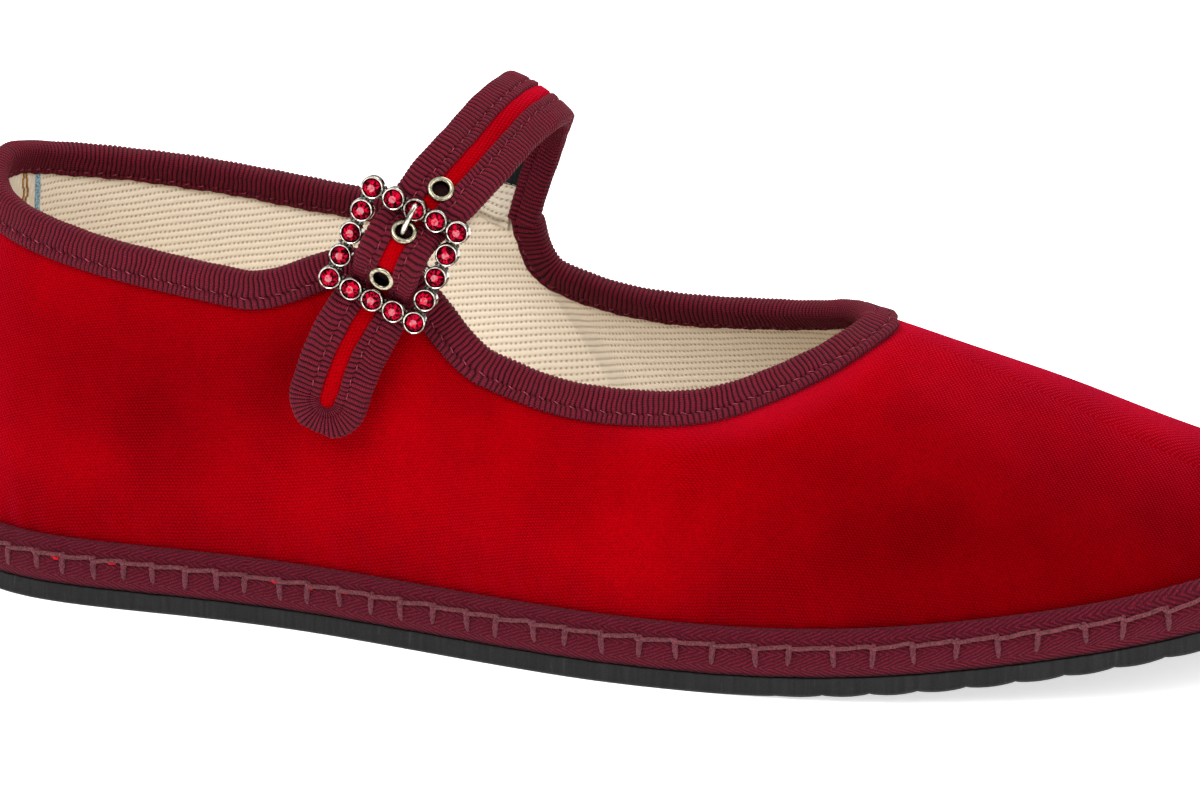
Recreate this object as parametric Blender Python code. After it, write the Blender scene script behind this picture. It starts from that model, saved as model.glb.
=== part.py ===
"""Velvet mary jane shoe for a right foot, modelled as the pieces that a shoemaker puts together.

The frame: +X to the toe, +Y to the inner side of the foot, +Z up, and the origin on the floor
under the middle of the heel. Sizes in the tables are millimetres. Lengths run from the back of
the heel, heights from the floor under the heel, and widths from the line through heel and toe.
"""

import math

import bmesh
import bpy
import numpy as np
from mathutils import Matrix, Vector

MM = 0.001

# Sole: lengths along X, heights above the floor
SOLE_LENGTH = 243.5
HEEL_REST_X = 30.0
RUBBER = 3.3
GAP = 0.3
MIDSOLE_BOTTOM = RUBBER + 0.5
MIDSOLE_TOP = 8.0
INSOLE_THICKNESS = 2.4
INSOLE_CUP = 0.6
INSOLE_TOE_CUT = 7.0
TOE_TRIM_START = 185.0
TOE_TRIM_END = 222.0
TOE_SPRING = 14.5
SPRING_START = 140.0
SPRING_POWER = 1.75
ARCH_RISE = 1.5
ARCH = (50.0, 82.0, 105.0, 140.0)

# Tread: ribs across the rubber, parted by shallow grooves
TREAD_PITCH = 7.5
TREAD_START = 11.25
TREAD_END = 236.0
TREAD_OPEN = 145.0
GROOVE_WIDTH = 2.0
GROOVE_DEPTH = 0.9
EDGE_CHAMFER = 0.5
END_STEPS = 16

# Tape round the edge of the sole. Its lower part goes by distance outward from the outline and
# height above the floor; its lap on the upper goes by distance up the wall and distance off it.
TAPE_OUTSIDE = ((0.0, 3.6), (0.5, 5.6), (0.4, 8.2))
TAPE_LAP = ((1.9, 2.1), (2.9, 1.3), (2.8, 0.3))
TAPE_INSIDE = ((-1.1, 8.0), (-1.2, 3.6))
MIDSOLE_INSET = 1.6
PLATE_STEPS = 26

# Upper
WALL = 2.0
RIM_WALL = 1.3
RIM_TAPER = 8.0
FEATHER_INSET = 2.8
FEATHER_HEIGHT = MIDSOLE_TOP + GAP
FEATHER_LEAN = 9.0
WALL_ROWS = 6
INSOLE_INSET = FEATHER_INSET + WALL + 0.9

# Ribbon binding, folded over an edge
RIBBON = 0.6
RIBBON_WIDTH = 4.9
RIBBON_WIDTH_INSIDE = 4.0
BINDING_GAP = 0.5

# Round the shoe from the back of the heel by the outer side to the toe, and back by the inner
# side. Each row is one section of the upper: where it stands on the sole's outline, where it
# ends at the collar, how steeply it falls away from the collar (degrees), and how far the
# section is drawn straight up from the sole and straight down from the collar.
STATIONS = (
    # sole_x, sole_y, rim_x, rim_y, rim_z, fall, rise, reach, steps
    (0.0, 0.0, 9.7, 0.0, 66.8, 70, 18, 18, 2),
    (4.6, -15.0, 12.0, -9.6, 64.9, 71, 18, 18, 2),
    (17.0, -27.3, 20.2, -17.2, 62.7, 72, 18, 18, 2),
    (34.5, -30.6, 34.0, -21.8, 60.6, 73, 18, 18, 2),
    (53.0, -30.3, 50.0, -23.8, 58.9, 74, 18, 18, 2),
    (71.5, -30.9, 66.5, -24.6, 57.2, 74, 17, 17, 3),
    (89.5, -33.2, 82.5, -25.0, 54.6, 70, 16, 15, 4),
    (107.5, -35.8, 98.0, -24.8, 50.4, 62, 15, 14, 4),
    (125.0, -37.5, 112.5, -24.0, 45.3, 54, 14, 13, 2),
    (142.0, -37.2, 126.5, -23.9, 44.3, 47, 14, 13, 2),
    (158.5, -36.0, 138.5, -22.0, 45.4, 41, 14, 14, 2),
    (174.5, -33.5, 147.3, -17.2, 48.0, 34, 14, 18, 2),
    (190.0, -29.6, 153.2, -11.7, 50.1, 26, 12.3, 21, 2),
    (205.0, -25.0, 156.6, -6.9, 51.7, 19, 9, 23, 2),
    (219.5, -18.2, 158.3, -3.1, 52.4, 15.5, 5.6, 21, 2),
    (232.5, -8.0, 158.8, -1.0, 52.6, 14.5, 3.8, 21, 2),
    (241.5, 4.0, 158.9, 0.8, 52.6, 14, 2.5, 20, 2),
    (242.5, 18.0, 158.7, 2.6, 52.4, 14.5, 2.1, 19, 2),
    (235.5, 29.5, 157.6, 5.6, 51.9, 16.5, 2.1, 17, 2),
    (222.0, 37.0, 155.4, 9.6, 51.0, 21, 3.8, 17, 2),
    (205.0, 41.5, 151.6, 14.4, 49.4, 28.5, 7.8, 16, 2),
    (187.0, 43.5, 145.2, 19.0, 47.1, 35, 11.4, 15.5, 2),
    (169.0, 42.6, 135.0, 22.8, 45.1, 43, 14, 14, 2),
    (151.0, 39.4, 123.0, 24.0, 44.2, 49, 14, 13, 2),
    (133.0, 35.2, 110.5, 24.4, 44.7, 56, 14, 13, 6),
    (115.0, 31.2, 97.5, 24.9, 48.1, 63, 15, 14, 9),
    (96.5, 28.6, 84.0, 25.2, 53.6, 70, 16, 15, 6),
    (78.0, 27.6, 70.0, 25.0, 56.4, 74, 17, 17, 4),
    (59.0, 28.0, 54.0, 24.2, 58.3, 74, 18, 18, 2),
    (40.0, 29.3, 37.0, 22.6, 60.4, 73, 18, 18, 2),
    (20.0, 27.6, 21.5, 17.9, 62.5, 72, 18, 18, 2),
    (5.6, 16.2, 12.4, 10.1, 64.9, 71, 18, 18, 2),
)
TOE_ROW = 16

# The collar rises in two places (along X): a tab on the outer side that holds the buckle, and
# the root of the strap on the inner side.
TAB = {"start": 60.0, "full": 82.0, "end_full": 89.0, "end": 103.0, "rise": 8.5}
ROOT = {"start": 77.5, "back": 83.5, "front": 94.9, "end": 100.1, "back_rise": 4.9, "front_rise": 8.0}
ROOT_POWER = 3.0
ROOT_LEAN = (0.12, -0.3, 0.95)

# Buckle: the middle of the frame's back, how far its top edge dips to the toe, and how far its
# top leans over the foot (degrees). Five stones a side share the corner stones.
BUCKLE_CENTRE = (88.1, -28.7, 66.2)
BUCKLE_DIP = 23.5
BUCKLE_TILT = 8.3
STONES_A_SIDE = 5
BUCKLE_WIDTH = 15.5
BUCKLE_HEIGHT = 16.6
CUP_RADIUS = 1.9
CUP_HEIGHT = 1.8
CUP_HOLLOW = 1.5
CUP_DEPTH = 1.1
CUP_SIDES = 8
RAIL_WIDTH = 1.4
RAIL_HEIGHT = 0.8
RAIL_BACK = 0.2
STONE_SIDES = 8
STONE_RADIUS = 1.3
STONE_TABLE = 0.8
STONE_GIRDLE_DROP = 0.3
STONE_CROWN = 0.35
BAR_RADIUS = 0.6
BAR_DROP = 0.35
BAR_SIDES = 10

# Strap: the middle line of the band from the collar to its tip, and how far the band's front edge
# dips and turns to the inner side (degrees). The rows inside the buckle come between the two parts.
STRAP_ABOVE = (
    # x, y, z, dip, turn
    (90.2, 22.4, 58.2, 16, -10),
    (91.4, 22.3, 62.6, 21, -8),
    (93.1, 21.6, 67.6, 26, -4),
    (95.3, 19.9, 73.2, 30, -1),
    (97.6, 16.2, 77.8, 31, 0),
    (99.7, 11.0, 81.2, 31, 0),
    (100.5, 4.8, 82.9, 31, 0),
    (99.9, -2.0, 83.0, 30, 0),
    (98.8, -8.6, 81.8, 29, 0),
    (97.5, -15.0, 79.9, 28, 0),
    (95.8, -20.0, 77.7, 27, 0),
)
STRAP_IN_BUCKLE = (
    # across to the toe, height above the bar, distance out
    (1.3, 9.6, -2.2),
    (0.4, 6.4, -1.95),
    (0.0, 3.5, 0.8),
    (0.0, 0.0, 2.5),
    (0.0, -3.5, 0.8),
    (0.0, -6.2, -1.7),
    (0.0, -9.2, -2.0),
)
STRAP_BELOW = (
    # x, y, z, dip, turn
    (80.7, -30.9, 50.6, 24, 0),
    (78.2, -32.3, 43.2, 24, 0),
    (75.9, -32.9, 36.4, 24, 0),
)
STRAP_CORE = 0.8
STRAP_HALF_WIDTH = 5.7
STRIPE_HALF_WIDTH = 1.6
SQUEEZE = {"depth": 1.0, "full": 6.8, "end": 15.0}
STRAP_STEP = 3.4
STRAP_SECTION = (-1.0, -0.5, 0.5, 1.0)
TIP_STEPS = 9

# Eyelets: distances along the strap above (+) and below (-) the middle of the buckle
EYELET_PLACES = (13.7, 4.0, -4.2)
EYELET_HOLE = 1.3
EYELET_TUBE = 1.65
EYELET_FLANGE = 2.1
EYELET_REACH = 1.7
FLANGE_THICKNESS = 0.3
PUNCH_RADIUS = 1.95
EYELET_SIDES = 10

# Prong and the two keepers that hold the bar to the tab, seen along the bar:
# height above the bar's middle line, distance out from the frame's back.
PRONG_RADIUS = 0.45
PRONG_HOOK = 1.3
PRONG_HOOK_ARC = (280, 256, 232, 208, 184, 160)
PRONG_ROUTE = ((1.6, -1.7), (2.6, -1.0), (3.4, 0.7), (4.2, 2.4), (6.0, 3.2), (8.0, 3.3), (9.3, 3.0))
PRONG_SIDES = 6
KEEPER_THICKNESS = 0.4
KEEPER_RADIUS = 1.05
KEEPER_WIDTH = 3.4
KEEPER_OFFSET = 3.4
KEEPER_END = (-2.0, -5.0)
KEEPER_ARC = (60, 300)
KEEPER_STEPS = 8
KEEPER_SPREAD = 0.15

ORIGIN = np.array([HEEL_REST_X, 0.0, 0.0])
UP = np.array([0.0, 0.0, 1.0])


# ---------------------------------------------------------------- curves

def ease(value, start, end):
    """0 before start, 1 after end, and a smooth step between them."""
    part = min(max((value - start) / (end - start), 0.0), 1.0)
    return part * part * (3 - 2 * part)


def unit(vector):
    return vector / np.linalg.norm(vector)


def smooth_rows(rows, ring):
    """A function of a row number that runs smoothly through the rows, round a ring or end to end."""
    values = np.array(rows, float)
    count = len(values)
    system = 4 * np.eye(count) + np.eye(count, k=1) + np.eye(count, k=-1)
    change = np.roll(values, -1, 0) - 2 * values + np.roll(values, 1, 0)
    if ring:
        system[0, -1] = system[-1, 0] = 1
    else:
        system[0] = system[-1] = 0
        system[0, 0] = system[-1, -1] = 1
        change[0] = change[-1] = 0
    bend = np.linalg.solve(system, 6 * change)

    def at(place):
        start = math.floor(place) if ring else min(max(math.floor(place), 0), count - 2)
        part = place - start
        here, after, rest = start % count, (start + 1) % count, 1 - part
        line = rest * values[here] + part * values[after]
        return line + ((rest ** 3 - rest) * bend[here] + (part ** 3 - part) * bend[after]) / 6

    return at


station = smooth_rows([row[:-1] for row in STATIONS], ring=True)


def places():
    """Row numbers of the sections round the shoe, with more of them where a row asks for more."""
    result = []
    for number, row in enumerate(STATIONS):
        steps = row[-1]
        result += [number + step / steps for step in range(steps)]
    return result


# ---------------------------------------------------------------- sole shape

def ground(x, y):
    """Height of the sole's underside over the floor: toe spring, and the arch's inner edge."""
    spring = max(x - SPRING_START, 0.0) / (SOLE_LENGTH - SPRING_START)
    arch = ease(x, ARCH[0], ARCH[1]) * (1 - ease(x, ARCH[2], ARCH[3])) * ease(y, 4.0, 28.0)
    return TOE_SPRING * spring ** SPRING_POWER + ARCH_RISE * arch


def outward(place):
    """The level direction square to the sole's outline."""
    step = 0.02
    along = station(place + step)[:2] - station(place - step)[:2]
    return unit(np.array([-along[1], along[0], 0.0])) * -1.0


def on_outline(place, offset, height):
    """A point beside the outline: offset outward, at a height over the sole's underside."""
    sole_x, sole_y = station(place)[:2]
    point = np.array([sole_x, sole_y, 0.0]) + outward(place) * offset
    point[2] = height + ground(sole_x, sole_y)
    return point


def outline_widths(inset):
    """The two sides of the outline, moved in by inset, as functions of x, with its two ends."""
    fine = [on_outline(number / 8, -inset, 0.0) for number in range(8 * len(STATIONS))]
    points = np.array(fine)
    first, last = points[:, 0].argmin(), points[:, 0].argmax()
    ring = np.roll(points, -first, axis=0)
    turn = (last - first) % len(points)
    outer = ring[:turn + 1]
    inner = np.vstack([ring[turn:], ring[:1]])[::-1]

    def widths(x):
        return np.interp(x, outer[:, 0], outer[:, 1]), np.interp(x, inner[:, 0], inner[:, 1])

    return widths, points[first, 0], points[last, 0]


# ---------------------------------------------------------------- upper's wall

def rim_rise(place):
    """How far the collar is drawn on above its plain line, at the tab and at the strap's root."""
    x = station(place)[2]
    if place % len(STATIONS) < TOE_ROW:
        return TAB["rise"] * ease(x, TAB["start"], TAB["full"]) * (1 - ease(x, TAB["end_full"], TAB["end"]))
    if x <= ROOT["start"] or x >= ROOT["end"]:
        return 0.0
    if x < ROOT["back"]:
        return ROOT["back_rise"] * ((x - ROOT["start"]) / (ROOT["back"] - ROOT["start"])) ** ROOT_POWER
    if x > ROOT["front"]:
        return ROOT["front_rise"] * ((ROOT["end"] - x) / (ROOT["end"] - ROOT["front"])) ** ROOT_POWER
    part = (x - ROOT["back"]) / (ROOT["front"] - ROOT["back"])
    return ROOT["back_rise"] * (1 - part) + ROOT["front_rise"] * part


def wall_frame(place):
    """The four control points of a section of the wall, from the sole to the collar."""
    sole_x, sole_y, rim_x, rim_y, rim_z, fall, rise, reach = station(place)
    out = outward(place)
    foot = on_outline(place, -FEATHER_INSET, FEATHER_HEIGHT)
    rim = np.array([rim_x, rim_y, rim_z])
    run = foot - rim
    run[2] = 0.0
    run = unit(run + 10.0 * out)
    lean, slope = math.radians(FEATHER_LEAN), math.radians(fall)
    above_foot = foot + rise * (out * math.sin(lean) + UP * math.cos(lean))
    below_rim = rim + reach * (run * math.cos(slope) - UP * math.sin(slope))
    return foot, above_foot, below_rim, rim


def wall(place, height):
    """A point of the upper's outside: height runs from 0 at the sole to 1 at the collar's line."""
    foot, above_foot, below_rim, rim = wall_frame(place)
    if height > 1:
        outer_side = place % len(STATIONS) < TOE_ROW
        beyond = rim - below_rim if outer_side else station(place)[7] * unit(np.array(ROOT_LEAN))
        return rim + 3 * (height - 1) * beyond
    rest = 1 - height
    return (rest ** 3 * foot + 3 * rest ** 2 * height * above_foot
            + 3 * rest * height ** 2 * below_rim + height ** 3 * rim)


def wall_top(place):
    """The height, in wall's terms, of the collar's real edge."""
    reach = station(place)[7]
    return 1 + rim_rise(place) / (3 * reach)


def wall_slopes(place, height):
    """The wall's directions round the shoe and up, and the direction out of it."""
    step = 0.01
    along = (wall(place + step, height) - wall(place - step, height)) / (2 * step)
    upward = (wall(place, height + step) - wall(place, height - step)) / (2 * step)
    return along, upward, unit(np.cross(along, upward))


def wall_thickness(distance):
    """The wall's thickness at a distance down from the collar's edge."""
    return RIM_WALL + (WALL - RIM_WALL) * ease(distance, 0.0, RIM_TAPER)


def settle(point, place, height):
    """The place and height on the wall nearest to a point beside it."""
    for _ in range(4):
        along, upward, _ = wall_slopes(place, height)
        sides = np.stack([along, upward], axis=1)
        change = np.linalg.lstsq(sides, point - wall(place, height), rcond=None)[0]
        place, height = place + change[0], height + change[1]
    return place, height


# ---------------------------------------------------------------- strap and buckle places

def buckle_axes():
    """The buckle's directions: along the bar to the toe, up the strap, and out from the foot."""
    dip, tilt = math.radians(BUCKLE_DIP), math.radians(BUCKLE_TILT)
    along = np.array([math.cos(dip), 0.0, -math.sin(dip)])
    straight_up = np.array([math.sin(dip), 0.0, math.cos(dip)])
    inward = np.array([0.0, 1.0, 0.0])
    upward = straight_up * math.cos(tilt) + inward * math.sin(tilt)
    out = straight_up * math.sin(tilt) - inward * math.cos(tilt)
    return along, upward, out


def on_buckle(across, height, distance):
    """A point given in the buckle's own directions, from the middle of the frame's back."""
    along, upward, out = buckle_axes()
    return np.array(BUCKLE_CENTRE) + across * along + height * upward + distance * out


def strap_rows():
    """All rows of the strap's middle line, from the collar through the buckle to the tip."""
    inside = [(*on_buckle(*place), BUCKLE_DIP, 0.0) for place in STRAP_IN_BUCKLE]
    return [*STRAP_ABOVE, *inside, *STRAP_BELOW]


strap_line = smooth_rows(strap_rows(), ring=False)
STRAP_FINE = np.arange(0.0, len(strap_rows()) - 1 + 0.01, 0.02)
STRAP_POINTS = np.array([strap_line(place) for place in STRAP_FINE])
STRAP_RUN = np.concatenate([[0.0], np.cumsum(np.linalg.norm(np.diff(STRAP_POINTS[:, :3], axis=0), axis=1))])
STRAP_LENGTH = STRAP_RUN[-1]
BUCKLE_ROW = len(STRAP_ABOVE) + len(STRAP_IN_BUCKLE) // 2
BUCKLE_RUN = float(np.interp(BUCKLE_ROW, STRAP_FINE, STRAP_RUN))


def strap(run, across, lift):
    """A point of the strap: run along it, across it to the toe, and lifted out of its middle."""
    place = float(np.interp(run, STRAP_RUN, STRAP_FINE))
    step = 0.05
    centre = strap_line(place)
    ahead = strap_line(place + step)[:3] - strap_line(place - step)[:3]
    dip, turn = math.radians(centre[3]), math.radians(centre[4])
    width = np.array([math.cos(dip) * math.cos(turn), math.sin(turn), -math.sin(dip) * math.cos(turn)])
    width = unit(width - unit(ahead) * np.dot(width, unit(ahead)))
    out = unit(np.cross(width, ahead))
    return centre[:3] + across * width + lift * out


def strap_half_width(run):
    """Half the width of the band, which is squeezed together inside the buckle."""
    away = abs(run - BUCKLE_RUN)
    return STRAP_HALF_WIDTH - SQUEEZE["depth"] * (1 - ease(away, SQUEEZE["full"], SQUEEZE["end"]))


# ---------------------------------------------------------------- making objects

def finish(name, colour, roughness, metallic=0.0):
    """A plain material for one piece."""
    material = bpy.data.materials.new(name)
    material.use_nodes = True
    shader = material.node_tree.nodes["Principled BSDF"]
    shader.inputs["Base Color"].default_value = (*colour, 1.0)
    shader.inputs["Roughness"].default_value = roughness
    shader.inputs["Metallic"].default_value = metallic
    return material


def close(name, form, material, sharp):
    """Turn the faces outward and keep the form as an object, smooth but for its sharp edges."""
    bmesh.ops.recalc_face_normals(form, faces=form.faces)
    if form.calc_volume(signed=True) < 0:
        bmesh.ops.reverse_faces(form, faces=form.faces)
    mesh = bpy.data.meshes.new(name)
    form.to_mesh(mesh)
    form.free()
    mesh.materials.append(material)
    mesh.shade_smooth()
    mesh.set_sharp_from_angle(angle=math.radians(sharp))
    piece = bpy.data.objects.new(name, mesh)
    bpy.context.scene.collection.objects.link(piece)
    return piece


def to_world(point):
    return Vector((np.asarray(point) - ORIGIN) * MM)


def loft(name, sections, material, ring=False, folded=False, sharp=40.0):
    """Skin a run of closed sections with equal numbers of points, capped unless it is a ring.

    A folded section goes out along one side of the fold and back along the other.
    """
    form = bmesh.new()
    rows = [[form.verts.new(to_world(point)) for point in section] for section in sections]
    for number in range(len(rows) if ring else len(rows) - 1):
        here, after = rows[number], rows[(number + 1) % len(rows)]
        for side in range(len(here)):
            following = (side + 1) % len(here)
            form.faces.new((here[side], here[following], after[following], after[side]))
    ends = () if ring else (rows[0], rows[-1])
    for end in ends:
        if folded:
            for side in range(len(end) // 2 - 1):
                form.faces.new((end[side], end[side + 1], end[-2 - side], end[-1 - side]))
        else:
            form.faces.new(end)
    bmesh.ops.triangulate(form, faces=[face for face in form.faces if len(face.verts) > 4])
    return close(name, form, material, sharp)


def turned(name, profile, centre, axis, sides, material):
    """Turn a profile of (radius, height) pairs about an axis: a ring, or capped where radius is 0."""
    form = bmesh.new()
    turn = Vector(axis).to_track_quat("Z", "Y").to_matrix().to_4x4()
    frame = Matrix.Translation(to_world(centre)) @ turn
    hollow = all(radius > 0 for radius, _ in profile)
    rows = []
    for radius, height in profile:
        if radius == 0:
            rows.append([form.verts.new(frame @ Vector((0, 0, height * MM)))] * sides)
            continue
        angles = [2 * math.pi * side / sides for side in range(sides)]
        spots = [Vector((radius * math.cos(angle), radius * math.sin(angle), height)) for angle in angles]
        rows.append([form.verts.new(frame @ (spot * MM)) for spot in spots])
    for number in range(len(rows) if hollow else len(rows) - 1):
        here, after = rows[number], rows[(number + 1) % len(rows)]
        for side in range(sides):
            following = (side + 1) % sides
            corners = (here[side], here[following], after[following], after[side])
            form.faces.new(dict.fromkeys(corners))
    return close(name, form, material, 40.0)


def combine(piece, tools, operation):
    """Join or cut a piece with tools, keep the result as its mesh and remove the tools."""
    for tool in tools:
        change = piece.modifiers.new(operation, "BOOLEAN")
        change.operation = operation
        change.solver = "EXACT"
        change.object = tool
    graph = bpy.context.evaluated_depsgraph_get()
    mesh = bpy.data.meshes.new_from_object(piece.evaluated_get(graph))
    piece.modifiers.clear()
    piece.data = mesh
    for tool in tools:
        bpy.data.objects.remove(tool)


# ---------------------------------------------------------------- sole pieces

def ribbed_lengths(start, end):
    """Places along X for the outsole's sections, and how far the groove lifts each of them."""
    result = {}
    for step in range(END_STEPS + 1):
        result[start + (end - start) * (1 - math.cos(math.pi * step / END_STEPS)) / 2] = 0.0
    groove = TREAD_START
    while groove < TREAD_END:
        near = [x for x in result if abs(x - groove) < GROOVE_WIDTH]
        for x in near:
            del result[x]
        result[groove - GROOVE_WIDTH / 2] = 0.0
        result[groove] = GROOVE_DEPTH
        result[groove + GROOVE_WIDTH / 2] = 0.0
        groove += TREAD_PITCH
    return sorted(result.items())


def outsole():
    """Rubber cut from a tyre: a flat slab with ribs across it, bent up under the toes."""
    widths, back, front = outline_widths(0.0)
    sections = []
    for x, lift in ribbed_lengths(back + 0.15, front - 0.15):
        outer, inner = widths(x)
        chamfer = min(EDGE_CHAMFER, (inner - outer) / 4)
        middle = (outer + inner) / 2
        bottom = (outer + chamfer, middle, inner - chamfer)
        edge_lift = lift if x > TREAD_OPEN else 0.0
        section = [(x, outer, ground(x, outer) + EDGE_CHAMFER + edge_lift)]
        section += [(x, y, ground(x, y) + rise) for y, rise in zip(bottom, (edge_lift, lift, edge_lift))]
        section += [(x, inner, ground(x, inner) + EDGE_CHAMFER + edge_lift)]
        section += [(x, y, ground(x, y) + RUBBER) for y in (inner, middle, outer)]
        sections.append(section)
    loft("outsole", sections, finish("tyre rubber", (0.012, 0.012, 0.013), 0.6), sharp=25.0)


def plate(name, inset, toe_cut, bottom, top, cup, material):
    """A flat layer of the sole that follows the outline and the toe spring, cut short at the toe."""
    widths, back, front = outline_widths(inset)
    back, front = back + 0.2, front - 0.2 - toe_cut
    sections = []
    for step in range(PLATE_STEPS + 1):
        x = back + (front - back) * (1 - math.cos(math.pi * step / PLATE_STEPS)) / 2
        outer, inner = widths(x)
        trim = toe_cut / 2 * ease(x, TOE_TRIM_START, TOE_TRIM_END)
        spread = np.linspace(outer + trim, inner - trim, 4)
        section = [(x, y, ground(x, y) + bottom) for y in spread]
        edge_lift = (cup, 0.0, 0.0, cup)
        rows = list(zip(spread, edge_lift))[::-1]
        section += [(x, y, ground(x, y) + top + lift) for y, lift in rows]
        sections.append(section)
    loft(name, sections, material)


def off_wall(place, length, distance):
    """A point off the wall's outside, at a length up the wall from its foot."""
    height, step, run = 0.0, 0.01, 0.0
    while run < length:
        run += np.linalg.norm(wall(place, height + step) - wall(place, height))
        height += step
    return wall(place, height) + distance * wall_slopes(place, height)[2]


def sole_tape():
    """Woven tape wrapped round the sole's edge, lapped over the foot of the upper."""
    sections = []
    for place in places():
        section = [on_outline(place, *spot) for spot in TAPE_OUTSIDE]
        section += [off_wall(place, *spot) for spot in TAPE_LAP]
        section += [on_outline(place, *spot) for spot in TAPE_INSIDE]
        sections.append(section)
    loft("sole_tape", sections, finish("burgundy tape", (0.10, 0.012, 0.03), 0.9), ring=True)


# ---------------------------------------------------------------- upper pieces

def upper():
    """The velvet and canvas wall: one hollow skin, open at the collar and under the foot."""
    sections = []
    for place in places():
        top = wall_top(place)
        outside, inside = [], []
        rim = wall(place, top)
        for row in range(WALL_ROWS + 1):
            height = top * row / WALL_ROWS
            point = wall(place, height)
            normal = wall_slopes(place, height)[2]
            within = point - normal * wall_thickness(np.linalg.norm(rim - point))
            if row == 0:
                within[2] = point[2]
            outside.append(point)
            inside.append(within)
        sections.append(outside + inside[::-1])
    loft("upper", sections, finish("red velvet", (0.55, 0.0, 0.012), 0.85), ring=True)


def binding_places():
    """Places along the collar from the front of the strap's root, round by the toe and the
    outer side and the heel, to the back of the root."""
    def root_place(x, low, high):
        for _ in range(40):
            middle = (low + high) / 2
            if station(middle)[2] > x:
                low = middle
            else:
                high = middle
        return (low + high) / 2

    count = len(STATIONS)
    front = root_place(ROOT["front"], TOE_ROW + 5, count)
    back = root_place(ROOT["back"], TOE_ROW + 5, count)
    between = [place - count if place > back else place for place in places()]
    between = [place for place in between if back - count + 0.11 < place < front - 0.1]
    return [back - count, back - count + 0.04, back - count + 0.08, *sorted(between), front - 0.08, front]


def binding_turn(number, count):
    """How far a section of the ribbon has turned to meet the strap's ribbon, at either end."""
    if number == 0 or number == count - 1:
        return 1.0
    return 0.5 if number in (1, count - 2) else 0.0


def collar_binding():
    """Ribbon folded over the collar's edge, down both sides of the wall."""
    run = binding_places()
    rims = [wall(place, wall_top(place)) for place in run]
    sections = []
    for number, place in enumerate(run):
        top = wall_top(place)
        before, after = rims[max(number - 1, 0)], rims[min(number + 1, len(run) - 1)]
        normal = wall_slopes(place, top)[2]
        along = unit(after - before)
        down = unit(np.cross(along, normal))
        if down[2] > 0 and abs(down[2]) > 0.3:
            down = -down
        turn = binding_turn(number, len(run))
        across = strap(0.0, 1.0, 0.0) - strap(0.0, 0.0, 0.0)
        down = unit(down * (1 - turn) + across * (turn if number < 2 else -turn))
        near, far = BINDING_GAP, BINDING_GAP + RIBBON

        def beside(distance, outside, off):
            spot, height = settle(rims[number] + down * distance, place, top)
            off = off if outside else -wall_thickness(distance) - off
            return wall(spot, height) + off * wall_slopes(spot, height)[2]

        crest = rims[number] - normal * RIM_WALL / 2 - down * BINDING_GAP
        sections.append([
            beside(RIBBON_WIDTH, True, far),
            beside(0.0, True, far),
            crest - down * RIBBON,
            beside(0.0, False, far),
            beside(RIBBON_WIDTH_INSIDE, False, far),
            beside(RIBBON_WIDTH_INSIDE, False, near),
            beside(0.0, False, near),
            crest,
            beside(0.0, True, near),
            beside(RIBBON_WIDTH, True, near),
        ])
    loft("collar_binding", sections, finish("burgundy ribbon", (0.10, 0.01, 0.025), 0.8), folded=True)


# ---------------------------------------------------------------- strap pieces

def strap_edge():
    """The strap's edge as (run, across, direction inward), up its front, round the tip and back."""
    first, last = GAP, STRAP_LENGTH - STRAP_HALF_WIDTH
    steps = round((last - first) / STRAP_STEP)
    runs = [first + (last - first) * step / steps for step in range(steps)]
    edge = [(run, strap_half_width(run), (0.0, -1.0)) for run in runs]
    for step in range(TIP_STEPS + 1):
        angle = math.pi * step / TIP_STEPS
        run, across = math.sin(angle), math.cos(angle)
        edge.append((last + STRAP_HALF_WIDTH * run, STRAP_HALF_WIDTH * across, (-run, -across)))
    edge += [(run, -strap_half_width(run), (0.0, 1.0)) for run in reversed(runs)]
    return edge


def punches():
    """Round tools that cut the eyelets' holes."""
    tools = []
    for place in EYELET_PLACES:
        run = BUCKLE_RUN - place
        centre, axis = strap(run, 0.0, 0.0), strap(run, 0.0, 1.0) - strap(run, 0.0, 0.0)
        profile = ((0, -3.0), (PUNCH_RADIUS, -3.0), (PUNCH_RADIUS, 3.0), (0, 3.0))
        tool = turned("punch", profile, centre, axis, EYELET_SIDES, finish("punch", (1, 1, 1), 0.5))
        tool.hide_render = True
        tool.display_type = "WIRE"
        tools.append(tool)
    return tools


def strap_core():
    """The velvet band between the ribbons, with a round tip."""
    edge = strap_edge()
    half = len(edge) // 2
    sections = []
    for number in range(half):
        run, across, _ = edge[number]
        sections.append([strap(run, across * part, STRAP_CORE / 2) for part in STRAP_SECTION]
                        + [strap(run, across * part, -STRAP_CORE / 2) for part in STRAP_SECTION[::-1]])
    band = loft("strap", sections, finish("red velvet strap", (0.55, 0.0, 0.012), 0.85))
    combine(band, punches(), "DIFFERENCE")


def strap_binding():
    """Ribbon folded over the strap's edge, up one side, round the tip and down the other."""
    inner_lift, outer_lift = STRAP_CORE / 2 + GAP, STRAP_CORE / 2 + GAP + RIBBON - 0.1
    tip = STRAP_LENGTH - STRAP_HALF_WIDTH
    sections = []
    for run, across, (along_in, across_in) in strap_edge():
        half = strap_half_width(run) if run < tip else STRAP_HALF_WIDTH
        width = half - STRIPE_HALF_WIDTH
        profile = ((width, outer_lift), (0.0, outer_lift), (-GAP - RIBBON, 0.0), (0.0, -outer_lift),
                   (width, -outer_lift), (width, -inner_lift), (-GAP, -inner_lift), (-GAP, inner_lift),
                   (width, inner_lift))
        sections.append([strap(run + along_in * inward, across + across_in * inward, lift)
                         for inward, lift in profile])
    band = loft("strap_binding", sections, finish("burgundy strap ribbon", (0.10, 0.01, 0.025), 0.8))
    combine(band, punches(), "DIFFERENCE")


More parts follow.
